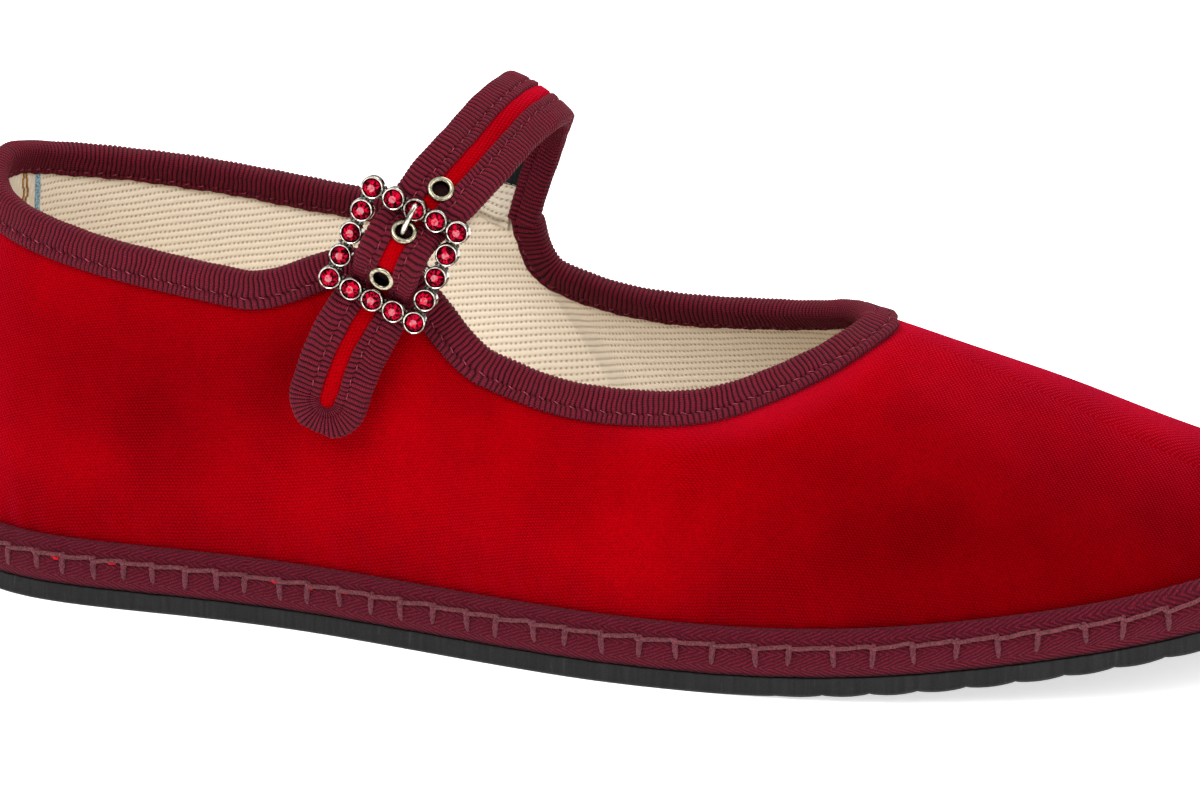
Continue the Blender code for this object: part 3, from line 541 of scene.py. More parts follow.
def turned(profile, centre, axis, sides, capped=False):
    """Points and faces of (radius, height) pairs turned about an axis: a ring, or capped at both ends."""
    axis = unit(np.asarray(axis, float))
    side = unit(np.cross(axis, buckle_axes()[1] if abs(axis[2]) > 0.5 else UP))
    other = np.cross(axis, side)
    angles = 2 * math.pi * np.arange(sides) / sides
    ways = np.cos(angles)[:, None] * side + np.sin(angles)[:, None] * other
    profile = np.array(profile, float)
    points = (np.asarray(centre) + profile[:, 0][:, None, None] * ways
              + (profile[:, 1][:, None] * axis)[:, None])
    number = np.arange(len(profile) * sides).reshape(len(profile), sides)
    ends = [closing_fans(number)] if capped else []
    return [points.reshape(-1, 3), quads(number, ring=not capped), *ends]


TUBE_END = ((0.5, 0.87), (0.85, 0.53), (1.0, 0.08))


def tube(line, radius, sides, helper, flat=1.0):
    """Points and faces of a round wire along a line, rounded off at both ends."""
    line = np.asarray(line, float)
    radius = np.broadcast_to(np.asarray(radius, float), len(line))
    ahead = unit(np.gradient(line, axis=0))
    helper = np.broadcast_to(np.asarray(helper, float), line.shape)
    side = unit(helper - ahead * (helper * ahead).sum(-1, keepdims=True))
    other = np.cross(ahead, side)
    steps, shrink = np.array(TUBE_END).T

    def end(row, way):
        """The sections that round off one end, from the line outward."""
        caps = line[row] + way * ahead[row] * (radius[row] * steps)[:, None]
        turns = (np.repeat(part[row][None], len(steps), 0) for part in (side, other))
        return [caps, radius[row] * shrink, *turns]

    rows = zip([part[::-1] for part in end(0, -1)], (line, radius, side, other), end(-1, 1))
    line, radius, side, other = (np.concatenate(parts) for parts in rows)
    angles = 2 * math.pi * np.arange(sides) / sides
    round_it = (np.cos(angles)[None, :, None] * side[:, None]
                + flat * np.sin(angles)[None, :, None] * other[:, None])
    points = line[:, None] + radius[:, None, None] * round_it
    number = np.arange(len(line) * sides).reshape(len(line), sides)
    return points.reshape(-1, 3), quads(number), closing_fans(number)


def many(name, parts, material, sharp=60.0):
    """One piece out of several closed parts, each given as points and groups of faces."""
    points, quads, fans, start = [], [], [], 0
    for spots, *groups in parts:
        points.append(spots)
        for group in groups:
            (quads if group.shape[1] == 4 else fans).append(group + start)
        start += len(spots)
    faces = [np.vstack(group) for group in (quads, fans) if group]
    return add_piece(name, np.vstack(points), faces, material, sharp=sharp)


def mark(piece, name, values):
    """Give each of a piece's points its own number, which its material reads."""
    layer = piece.data.attributes.new(name, "FLOAT", "POINT")
    layer.data.foreach_set("value", np.asarray(values, np.float32).ravel())


def points_of(piece):
    """A piece's points in millimetres, in the shoe's own frame."""
    return np.array([tuple(point.co) for point in piece.data.vertices]) / MM + ORIGIN


def belongs(piece, slot, *nodes):
    """Fix a piece to the shoe and hide the solids that it stands for. The slot is not used."""
    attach(piece, "root")
    if nodes:
        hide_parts(*nodes)
    return piece


# ---------------------------------------------------------------- finishes

def linear(colour):
    """A screen colour as linear light, with its alpha."""
    value = np.array(colour[:3], float)
    value = np.where(value <= 0.04045, value / 12.92, ((value + 0.055) / 1.055) ** 2.4)
    return (*(float(part) for part in value), 1.0)


def shade(colour, amount):
    """A colour made darker (below 1) or lighter (above 1)."""
    return tuple(min(max(part * amount, 0.0), 1.0) for part in colour[:3])


class Finish:
    """A node material while it is put together. Lengths in it are millimetres."""

    def __init__(self, name, **constants):
        self.material = bpy.data.materials.new(name)
        self.material.use_nodes = True
        self.nodes, self.links = self.material.node_tree.nodes, self.material.node_tree.links
        self.shader = self.nodes["Principled BSDF"]
        for socket, value in constants.items():
            self.shader.inputs[socket.replace("_", " ")].default_value = value

    def join(self, socket, value):
        """Link another node's outlet to a socket, or set the socket to a plain value."""
        if isinstance(value, bpy.types.NodeSocket):
            self.links.new(value, socket)
        else:
            socket.default_value = value

    def add(self, kind, outlet, inputs, **settings):
        """The given outlet of a new node, with its inputs joined."""
        node = self.nodes.new("ShaderNode" + kind)
        for key, value in settings.items():
            setattr(node, key, value)
        for socket, value in inputs.items():
            self.join(node.inputs[socket], value)
        return node.outputs[outlet]

    def sum(self, operation, first, second=0.0, third=0.0):
        return self.add("Math", 0, {0: first, 1: second, 2: third}, operation=operation)

    def product(self, first, second):
        return self.sum("MULTIPLY", first, second)

    def scaled(self, value, times, plus=0.0):
        return self.sum("MULTIPLY_ADD", value, times, plus)

    def parts(self, vector):
        """The three numbers of a vector."""
        apart = self.nodes.new("ShaderNodeSeparateXYZ")
        self.links.new(vector, apart.inputs[0])
        return apart.outputs

    def spots(self, stretch=(1.0, 1.0, 1.0), turn=(0.0, 0.0, 0.0)):
        """Where a point is on the shoe, in millimetres."""
        found = self.add("TexCoord", "Object", {})
        scale = tuple(part / MM for part in stretch)
        return self.add("Mapping", 0, {"Vector": found, "Scale": scale, "Rotation": turn})

    def weave(self):
        """Where a point is on its cloth: lengths along and across."""
        found = self.add("UVMap", 0, {}, uv_map=CLOTH_MAP)
        return found, *self.parts(found)[:2]

    def noise(self, where, size, detail=2.0, roughness=0.5):
        """A cloudy number about 0.5, whose clouds are size millimetres wide."""
        return self.add("TexNoise", 0, {"Vector": where, "Scale": 1.0 / size, "Detail": detail,
                                        "Roughness": roughness})

    def wave(self, value, pitch):
        """A number from 0 to 1 and back once in each pitch."""
        return self.scaled(self.sum("SINE", self.scaled(value, 2 * math.pi / pitch)), 0.5, 0.5)

    def spread(self, value, low, high, new_low=0.0, new_high=1.0):
        """A number that runs from new_low to new_high while the value runs from low to high."""
        return self.add("MapRange", 0, {"Value": value, "From Min": low, "From Max": high,
                                        "To Min": new_low, "To Max": new_high})

    def blend(self, amount, first, second):
        """A mix of two colours: the first at 0, the second at 1."""
        first, second = (part if isinstance(part, bpy.types.NodeSocket) else linear(part)
                         for part in (first, second))
        return self.add("Mix", 2, {0: amount, 6: first, 7: second}, data_type="RGBA")

    def layer(self, under, over, field, low, high, most=1.0):
        """A colour laid over another, up to the share most, while a field runs from low to high."""
        return self.blend(self.spread(field, low, high, 0.0, most), under, over)

    def dress(self, colour, roughness=None, height=None, lift=0.1):
        """The finished material. Its relief is lift millimetres for each unit of height."""
        self.join(self.shader.inputs["Base Color"], colour)
        if roughness is not None:
            self.join(self.shader.inputs["Roughness"], roughness)
        if height is not None:
            bump = self.add("Bump", 0, {"Height": height, "Distance": lift * MM, "Strength": 1.0})
            self.join(self.shader.inputs["Normal"], bump)
        return self.material


def velvet(name, looks):
    """Short-pile cotton velvet: slanting rows of tufts, cloudy where the pile lies another way, with
    painted shade and painted highlight from a map on its points.
    """
    finish = Finish(name, Roughness=0.95, Sheen_Weight=0.42, Sheen_Roughness=0.42,
                    Sheen_Tint=(1.0, 0.03, 0.12, 1.0), Specular_IOR_Level=0.0)
    where = finish.spots()
    _, along, across = finish.weave()
    # The map stored as "pile" holds painted shade and painted highlight, partly for the pile's lay
    painted_light_and_lay = finish.add("Attribute", "Fac", {}, attribute_name="pile")
    clouds = finish.noise(where, 16.0, 3.0, 0.55)
    pile = finish.noise(where, 0.5, 3.0, 0.6)
    sway = finish.scaled(finish.noise(where, 5.0, 2.0), 1.2, along)
    slant = finish.scaled(across, 0.55, sway)
    other = finish.scaled(sway, -0.12, across)
    tufts = finish.product(finish.wave(slant, 0.62), finish.wave(other, 0.54))
    colour = shade(looks.velvet, 0.87)
    for over, field, low, high, most in (
            (shade(looks.velvet, 1.07), clouds, 0.35, 0.65, 1.0),
            (shade(looks.velvet, 0.64), pile, 0.35, 0.7, 0.5),
            (shade(looks.velvet, 1.2), tufts, 0.1, 0.6, 0.8),
            # Painted shade: near black where painted_light_and_lay is dark. Painted highlight:
            # velvet_painted_highlight where it is below 0.
            (shade(looks.velvet, 0.02), painted_light_and_lay, 0.0, 0.8, 0.8),
            (looks.velvet_painted_highlight, painted_light_and_lay, 0.0, -0.4, 0.5)):
        colour = finish.layer(colour, over, field, low, high, most)
    height = finish.scaled(pile, 0.4, finish.product(tufts, 0.9))
    return finish.dress(colour, height=height, lift=0.14)


def ribbon(name, looks, pitch):
    """Ribbed ribbon: fine threads over each rib, and painted shade in the valleys between the ribs."""
    finish = Finish(name, Sheen_Weight=0.06, Sheen_Roughness=0.4, Sheen_Tint=(1.0, 0.4, 0.5, 1.0),
                    Specular_IOR_Level=0.12)
    where, along, across = finish.weave()
    wobble = finish.noise(where, 3.0, 2.0)
    fuzz = finish.noise(finish.spots(), 0.3, 3.0, 0.6)
    rib = finish.sum("ABSOLUTE", finish.sum("SINE", finish.product(along, math.pi / pitch)))
    threads = finish.wave(finish.scaled(wobble, 0.6, across), 0.36)
    crests = finish.blend(finish.product(threads, finish.spread(wobble, 0.3, 0.7, 0.4, 1.0)),
                          looks.ribbon, looks.ribbon_light)
    crests = finish.layer(crests, shade(looks.ribbon, 0.7), fuzz, 0.35, 0.7, 0.5)
    # painted shade: darker in the valleys between the ribs
    colour = finish.layer(shade(looks.ribbon, 0.3), crests, rib, 0.1, 0.85)
    height = finish.scaled(fuzz, 0.5, threads)
    return finish.dress(colour, finish.spread(wobble, 0.3, 0.7, 0.7, 0.85), height, 0.07)


def tape_cloth(name, looks):
    """Herringbone tape: bands of slanting yarns above the stitch and flatter yarns below it, with a painted
    shadow along its lower edge.
    """
    finish = Finish(name, Roughness=0.9, Sheen_Weight=0.05, Sheen_Tint=(1.0, 0.5, 0.6, 1.0),
                    Specular_IOR_Level=0.08)
    where, along, across = finish.weave()
    sway = finish.noise(where, 2.6, 3.0)
    zigzag = finish.sum("PINGPONG", finish.sum("ADD", across, 0.6), 2.3)
    slanted = finish.scaled(along, 0.42, finish.scaled(sway, 0.9, zigzag))
    yarn = finish.wave(slanted, 0.6)
    ply = finish.wave(finish.scaled(slanted, 1.5, along), 0.42)
    fuzz = finish.noise(where, 0.33, 3.0, 0.7)
    tone = finish.product(finish.scaled(yarn, 0.6, finish.product(ply, 0.4)),
                          finish.spread(fuzz, 0.35, 0.65, 0.25, 1.3))
    colour = finish.blend(tone, shade(looks.tape, 0.5), looks.tape_light)
    # painted shadow: darker along the lower edge, where the tape meets the rubber
    colour = finish.blend(finish.spread(across, 0.1, 0.7, 0.8, 0.0), colour, shade(looks.tape, 0.15))
    height = finish.scaled(ply, 0.5, finish.scaled(fuzz, 1.0, yarn))
    return finish.dress(colour, height=height, lift=0.2)


def lining_cloth(name, looks, tone=1.0):
    """Cream twill backed with rows of small brown dots. A tone below 1 makes a copy with painted shade."""
    finish = Finish(name, Roughness=0.95, Sheen_Weight=0.05, Specular_IOR_Level=0.08)
    where, along, across = finish.weave()
    sway = finish.scaled(finish.noise(where, 6.0, 2.0), 0.5, across)
    row = finish.wave(sway, 1.27)
    dots = finish.wave(finish.scaled(sway, 0.4, along), 0.8)
    fuzz = finish.noise(where, 0.5, 3.0, 0.6)
    twill = finish.wave(finish.scaled(sway, 1.3, along), 0.43)
    dot = finish.product(finish.spread(row, 0.55, 0.95), finish.spread(dots, 0.35, 0.9))
    base = finish.blend(finish.product(twill, finish.spread(fuzz, 0.3, 0.7)),
                        shade(looks.lining, tone), shade(looks.lining, 0.94 * tone))
    base = finish.layer(base, shade(looks.lining, 0.86 * tone), row, 0.5, 1.0, 0.4)
    colour = finish.blend(finish.product(dot, finish.spread(fuzz, 0.3, 0.6, 0.4, 0.85)),
                          base, shade(looks.lining_dot, tone))
    height = finish.sum("SUBTRACT", finish.product(twill, 0.5), finish.scaled(row, 0.5, dot))
    return finish.dress(colour, height=height, lift=0.08)


def canvas(name, colour, dark=0.8):
    """Plain woven cloth."""
    finish = Finish(name, Roughness=0.92, Specular_IOR_Level=0.15)
    where = finish.spots()
    x, y = finish.parts(where)[:2]
    plain = finish.product(finish.wave(x, 0.9), finish.wave(y, 0.9))
    fuzz = finish.noise(where, 0.8, 3.0, 0.6)
    mixed = finish.blend(finish.product(plain, finish.spread(fuzz, 0.3, 0.7)), shade(colour, dark), colour)
    return finish.dress(mixed, height=plain, lift=0.1)


def thread(name, colour):
    """Twisted yarn."""
    finish = Finish(name, Roughness=0.85, Sheen_Weight=0.08, Specular_IOR_Level=0.1)
    where = finish.spots()
    fuzz = finish.noise(where, 0.28, 3.0, 0.6)
    mixed = finish.layer(shade(colour, 0.55), shade(colour, 1.2), fuzz, 0.35, 0.65)
    return finish.dress(mixed, height=fuzz, lift=0.06)


def rubber(name, looks):
    """Tyre rubber with faint upright cut marks, dust and a few pale slanting scratches."""
    finish = Finish(name, Specular_IOR_Level=0.22)
    streaks = finish.noise(finish.spots((1.0, 1.0, 0.07)), 0.8, 2.0, 0.6)
    grit = finish.noise(finish.spots(), 0.3, 3.0, 0.7)
    cloud = finish.noise(finish.spots(), 9.0, 2.0, 0.5)
    scratch = finish.noise(finish.spots((1.0, 1.0, 0.12), (0.0, 0.5, 0.4)), 0.8, 1.0, 0.4)
    colour = shade(looks.rubber, 0.66)
    for tone, field, low, high, most in (
            (1.2, streaks, 0.35, 0.7, 1.0), (0.6, cloud, 0.35, 0.7, 0.35),
            (2.3, grit, 0.66, 0.76, 0.35), (2.6, scratch, 0.71, 0.75, 0.22)):
        colour = finish.layer(colour, shade(looks.rubber, tone), field, low, high, most)
    height = finish.scaled(grit, 0.4, streaks)
    return finish.dress(colour, finish.spread(grit, 0.3, 0.7, 0.6, 0.85), height, 0.12)


def metal(name, colour, roughness):
    """Polished plate, with painted shade in its recesses."""
    finish = Finish(name, Metallic=1.0)
    where = finish.spots()
    marks = finish.noise(where, 0.8, 3.0, 0.6)
    recess = finish.add("Attribute", "Fac", {}, attribute_name="recess")
    mixed = finish.layer(colour, shade(colour, 0.62), marks, 0.42, 0.66)
    # painted shade in the recesses that the points mark
    mixed = finish.layer(mixed, shade(colour, 0.14), recess, 0.0, 1.0, 0.9)
    polish = finish.spread(marks, 0.3, 0.7, roughness * 0.7, roughness * 1.5)
    return finish.dress(mixed, polish, marks, 0.03)


def glass(name, looks):
    """Foiled red glass with painted reflections: each facet gets its own painted red, dark to bright, and
    the flat top a painted reflection of the room.
    """
    finish = Finish(name, Roughness=0.12, Specular_IOR_Level=0.02)
    # painted reflections: a level for each facet, from dark red to bright, and the room's colour on the
    # flat tops
    facet = finish.add("Attribute", "Fac", {}, attribute_name="spark")
    inner = finish.noise(finish.spots(), 0.4, 1.0, 0.4)
    level = finish.sum("ADD", facet, finish.spread(inner, 0.3, 0.7, -0.25, 0.25))
    colour = finish.layer(shade(looks.glass, 0.16), looks.glass, level, 0.25, 0.85)
    return finish.dress(finish.layer(colour, looks.glass_painted_reflection, level, 1.1, 1.6))


# ---------------------------------------------------------------- upper

# Steps round the shoe for each station, and up the wall
VELVET_STEPS = (18, 52)
LINING_STEPS = (10, 36)
# The velvet's share of the wall's thickness, and half the gap between velvet and lining
VELVET_SHARE = 0.5
SHEET_GAP = 0.06
# The length where the velvet's rows turn to run straight over the toe
PILE_TURN = 150.0
PILE_TURN_REACH = 20.0
# Patches of painted shade and painted highlight on the velvet, which also stand for pile that lies another
# way
PILE_AND_PAINTED_LIGHT_PATCHES = (
    # how dark (painted shade, or painted highlight below 0), x, reach of x, share of the height, reach of
    # the share
    (0.4, 50, 15, 0.55, 0.34),
    (0.36, 69, 7, 0.72, 0.22),
    (0.16, 28, 12, 0.5, 0.4),
    (-0.34, 148, 20, 1.0, 0.2),
    (-0.15, 206, 14, 0.9, 0.3),
)
# The slope of the lining's rows of dots at each x
LINING_SLOPES = ((0, 0.0), (13, 0.02), (20, 0.13), (30, 0.174), (45, 0.2), (60, 0.2), (90, 0.165),
                 (120, 0.145), (150, 0.17), (250, 0.17))


def shell(name, near, far, steps, material, soft, rows=None):
    """A closed skin between two depths in the wall. Its cloth's rows climb the wall, or follow rows."""
    steps_a_row, wall_rows = steps
    place = np.arange(len(STATIONS) * steps_a_row) / steps_a_row
    share = np.linspace(0, 1, wall_rows + 1)
    height = wall_top(place)[:, None] * share[None, :]
    spot = wall(place[:, None], height)
    normal = wall_slopes(np.broadcast_to(place[:, None], height.shape), height)[2]
    thickness = wall_thickness(np.linalg.norm(spot - spot[:, -1:], axis=-1))
    climb = np.concatenate([np.zeros((len(place), 1)),
                            np.cumsum(np.linalg.norm(np.diff(spot, axis=1), axis=-1), axis=1)], axis=1)
    middle = spot[:, wall_rows // 2 if rows is None else wall_rows * 4 // 5]
    round_run = run_along(np.vstack([middle, middle[:1]]))
    waves = soft(round_run[:-1][:, None], climb, share[None, :])
    outside = spot + (waves - near(thickness))[..., None] * normal
    inside = spot + (waves * 0.8 - far(thickness))[..., None] * normal
    for surface in (outside, inside):
        surface[:, 0, 2] = spot[:, 0, 2]
    if rows is None:
        ways, lengths = pile_rows(spot, round_run)
    else:
        ways, lengths = np.broadcast_to(round_run[:-1, None], climb.shape), rows(spot)
    ways, lengths = both_ways(ways), both_ways(lengths)
    last = ways[:1] if rows is None else ways[:1] + round_run[-1]
    piece = skin(name, folded(outside, inside), material, ring=True, along=np.vstack([ways, last]),
                 across=np.vstack([lengths, lengths[:1]]))
    # painted shade and painted highlight, partly for the pile's lay, kept on the velvet's points as "pile"
    painted_light_and_lay = pile_lay_and_painted_light(spot[..., 0], share[None, :])
    mark(piece, "pile", folded(painted_light_and_lay, painted_light_and_lay))
    return piece


def pile_rows(spot, run):
    """Lengths along and across the velvet's rows of tufts, which lie straight over the toe."""
    x, y, z = spot[..., 0], spot[..., 1], spot[..., 2]
    rows = len(spot)
    outer = np.arange(rows) <= rows * TOE_ROW // len(STATIONS)
    line = spot[:, spot.shape[1] // 2, 0]
    own = np.where(outer, run[:-1], run[-1] - run[:-1])
    ways = np.empty_like(x)
    for side in (outer, ~outer):
        start = np.interp(PILE_TURN, np.sort(line[side]), np.sort(own[side]))
        straight = x[side] - PILE_TURN
        curved = own[side][:, None] - start
        share = ease(line[side], PILE_TURN - PILE_TURN_REACH, PILE_TURN)[:, None]
        ways[side] = PILE_TURN + curved * (1 - share) + straight * share
    return ways, z - np.abs(y)


def pile_lay_and_painted_light(x, share):
    """Painted shade and painted highlight on the velvet, partly for pile that lies another way: darker to
    the toe below its crest, low on the wall and in patches, lighter where a patch is below 0. It goes by
    the distance to the toe and the share of the wall's height.
    """
    crest = 1 - 0.8 * ease(share, 0.3, 1.0)
    tip = 1 - 0.55 * ease(x, 190, 208) * ease(share, 0.3, 0.6)
    # painted shade towards the toe, less at the crest and the tip
    front = 0.5 * ease(x, 118, 178) * crest * tip
    # painted shade low on the wall
    low = 0.2 * (1 - ease(share, 0.08, 0.32)) * (1 - ease(x, 120, 170))
    return front + low + sum(dark * np.exp(-((x - at) / reach) ** 2 - ((share - up) / reach_up) ** 2)
                             for dark, at, reach, up, reach_up in PILE_AND_PAINTED_LIGHT_PATCHES)


def velvet_waves(run, climb, share):
    """Soft unevenness of the velvet: slow hollows, and small puckers over the tape."""
    slow = 0.22 * ripple(run * 0.11, run * 0.07 + climb * 0.13, climb * 0.21 - run * 0.05)
    puckers = 0.16 * np.sin(run * 1.15 + 0.6 * np.sin(run * 0.21)) * np.exp(-((climb - 5.0) / 4.0) ** 2)
    return slow * ease(share, 0.02, 0.2) * (1 - ease(share, 0.8, 0.95)) + puckers


def lining_rows(spot):
    """Lengths across the lining's rows of dots, which climb to the toe."""
    x = np.arange(-10.0, 260.0)
    climbed = run_along(np.stack([np.cumsum(np.interp(x, *zip(*LINING_SLOPES)))], -1))
    return spot[..., 2] - np.interp(spot[..., 0], x, climbed)


def inside_wall(place, share, off):
    """Points off the wall's inside face, at shares of its height, and the direction out of it."""
    place, share = np.broadcast_arrays(np.asarray(place, float), np.asarray(share, float))
    top = wall_top(place)
    spot = wall(place, share * top)
    normal = wall_slopes(place, share * top)[2]
    from_rim = np.linalg.norm(spot - wall(place, top), axis=-1)
    return spot - (wall_thickness(from_rim) + off)[..., None] * normal, normal


# Places round the shoe, and shares of the wall's height
HEEL_SEAM = {"low": 0.3, "high": 0.955, "facing": (31.1, 31.85), "selvedge": 31.12,
             "stitches": (31.37, 31.45)}
HEEL_FACING_LEAN = 0.45
HEEL_STITCH_LEAN = 0.7
HEEL_STITCH_PITCH = 0.032
HEEL_STITCH = 0.028


def make_heel_seam(looks):
    """The seam in the lining by the back of the heel: a plain facing, its selvedge and stitches."""
    low, high = HEEL_SEAM["low"], HEEL_SEAM["high"]
    share = np.linspace(low, high, 40)
    lean = HEEL_FACING_LEAN * (high - share)
    place = np.linspace(*HEEL_SEAM["facing"], 14)[None] - lean[:, None]
    far, near = (inside_wall(place, share[:, None], off)[0] for off in (0.16, -0.05))
    belongs(skin("heel_facing", folded(far, near), canvas("cream heel facing", looks.lining, 0.88)),
            "cream_insole")

    line, normal = inside_wall(HEEL_SEAM["selvedge"] - lean, share, 0.2)
    side = unit(np.cross(normal, np.gradient(line, axis=0)))
    width = 0.55 + 0.07 * ripple(share * 60, share * 143)
    belongs(many("heel_selvedge", [tube(line, width, 12, side, flat=0.3)],
                 thread("grey blue selvedge yarn", looks.selvedge)), "cream_insole")

    parts = []
    for column, middle in enumerate(HEEL_SEAM["stitches"]):
        for number, start in enumerate(np.arange(low, high - 0.03, HEEL_STITCH_PITCH)):
            part = np.linspace(start, start + HEEL_STITCH, 6)
            wander = 0.02 * math.sin(number * 2.1 + column) - HEEL_STITCH_LEAN * (high - part)
            spots, normals = inside_wall(middle + wander, part, 0.2)
            parts.append(tube(spots, 0.2, 8, normals))
    belongs(many("heel_seam_stitches", parts, thread("ochre seam thread", looks.seam)), "cream_insole")


def make_upper(looks):
    outer = shell("upper_velvet", lambda wide: 0 * wide, lambda wide: wide * VELVET_SHARE - SHEET_GAP,
                  VELVET_STEPS, velvet("red velvet cloth", looks), velvet_waves)
    belongs(outer, "red_velvet", "upper")
    lining = shell("upper_lining", lambda wide: wide * VELVET_SHARE + SHEET_GAP, lambda wide: wide,
                   LINING_STEPS, lining_cloth("cream twill lining", looks),
                   lambda run, climb, share: 0 * climb, lining_rows)
    belongs(lining, "cream_insole", "upper")
    make_heel_seam(looks)


# ---------------------------------------------------------------- collar ribbon

# Distances down from the edge outside and inside, and angles over the edge between them
COLLAR_OUTER = (4.9, 4.7, 4.4, 4.0, 3.65, 3.4, 3.2, 3.0, 2.75, 2.2, 1.5, 0.8, 0.0)
COLLAR_CREST = (36, 72, 108, 144)
COLLAR_INNER = (0.0, 0.8, 1.7, 2.5, 2.8, 2.95, 3.1, 3.5, 4.0)
STITCH_PITCH = 2.5
STITCH_DOWN = 3.2
STITCH_DOWN_INSIDE = 2.95
STITCH_RADIUS = 0.085
STITCH_SIDES = 6
# Where the first stitch sits outside and inside, and half a stitch's length there
STITCH_STARTS = (2.6, 9.0)
STITCH_REACHES = (0.52, 0.45)
# The length at each end of the collar over which the ribbon turns to lie across the strap
END_TURN = 1.6
# Half the length of the dip round a needle hole
HOLE_REACH = 0.32
STEPS_A_RIB = 4
# How far the ribbon's underside stands off the wall
RIBBON_UNDER = 0.2


def root_place(x):
    """The place on the inner side where the collar's line stands at x."""
    low, high = TOE_ROW + 5.0, float(len(STATIONS))
    for _ in range(50):
        middle = (low + high) / 2
        low, high = (middle, high) if station(middle)[2] > x else (low, middle)
    return low


def collar_places(step):
    """Even steps along the collar from the back of the strap's root round to its front."""
    fine = np.linspace(root_place(ROOT["back"]) - len(STATIONS), root_place(ROOT["front"]), 8001)
    run = run_along(wall(fine, wall_top(fine)))
    count = round(run[-1] / step)
    even = np.linspace(0, run[-1], count + 1)
    return np.interp(even, run, fine), even


def smoothed(values, reach):
    """Directions averaged over a few neighbours along the run."""
    kernel = np.hanning(2 * reach + 3)[1:-1]
    padded = np.concatenate([np.repeat(values[:1], reach, 0), values, np.repeat(values[-1:], reach, 0)])
    return np.stack([np.convolve(padded[:, axis], kernel / kernel.sum(), "valid") for axis in range(3)], -1)


class Collar:
    """The collar's edge as a line of places with its directions: along, down the wall, and out."""

    def __init__(self, step):
        self.place, self.run = collar_places(step)
        self.top = wall_top(self.place)
        self.rim = wall(self.place, self.top)
        normal = wall_slopes(self.place, self.top)[2]
        along = unit(np.gradient(self.rim, axis=0))
        down = unit(smoothed(np.cross(along, normal), max(round(0.8 / step), 1)))
        across = strap(0.0, 1.0, 0.0) - strap(0.0, 0.0, 0.0)
        end = self.run[-1]
        back, front = 1 - ease(self.run, 0.0, END_TURN), ease(self.run, end - END_TURN, end)
        turn = back + front
        self.down = unit(down * (1 - turn)[:, None] + across * (back - front)[:, None])
        self.along, self.normal = along, normal

    def beside(self, distance, shift, off, outside):
        """Points off the wall's outside or inside face, a distance down from the edge."""
        target = (self.rim[:, None] + self.down[:, None] * distance[..., None]
                  + self.along[:, None] * shift[..., None])
        place = np.broadcast_to(self.place[:, None], distance.shape)
        height = np.broadcast_to(self.top[:, None], distance.shape)
        place, height = settle(target, place, height)
        depth = off if outside else -wall_thickness(distance) - off
        return wall(place, height) + depth[..., None] * wall_slopes(place, height)[2]

    def crest(self, angles, off):
        """Points over the edge, from the outer face round to the inner face."""
        middle = self.rim - self.normal * RIM_WALL / 2
        angles = np.radians(np.asarray(angles, float))
        wide, high = RIM_WALL / 2 + off, off + 0.1
        return (middle[:, None] + (np.cos(angles) * wide)[..., None] * self.normal[:, None]
                - (np.sin(angles) * high)[..., None] * self.down[:, None])

    def picked(self, numbers):
        """The same edge at only a few of its places."""
        few = copy.copy(self)
        for name, values in vars(self).items():
            setattr(few, name, values[numbers])
        return few


def rib_shape(phase):
    """A rounded rib with a narrow valley at whole numbers."""
    return np.abs(np.sin(np.pi * phase)) ** 0.6


def needle_holes(run, start):
    """How near each length along a ribbon is to one of its needle holes, up to 1 in the hole."""
    return np.exp(-(((run + start) % STITCH_PITCH - STITCH_PITCH / 2) / HOLE_REACH) ** 2)


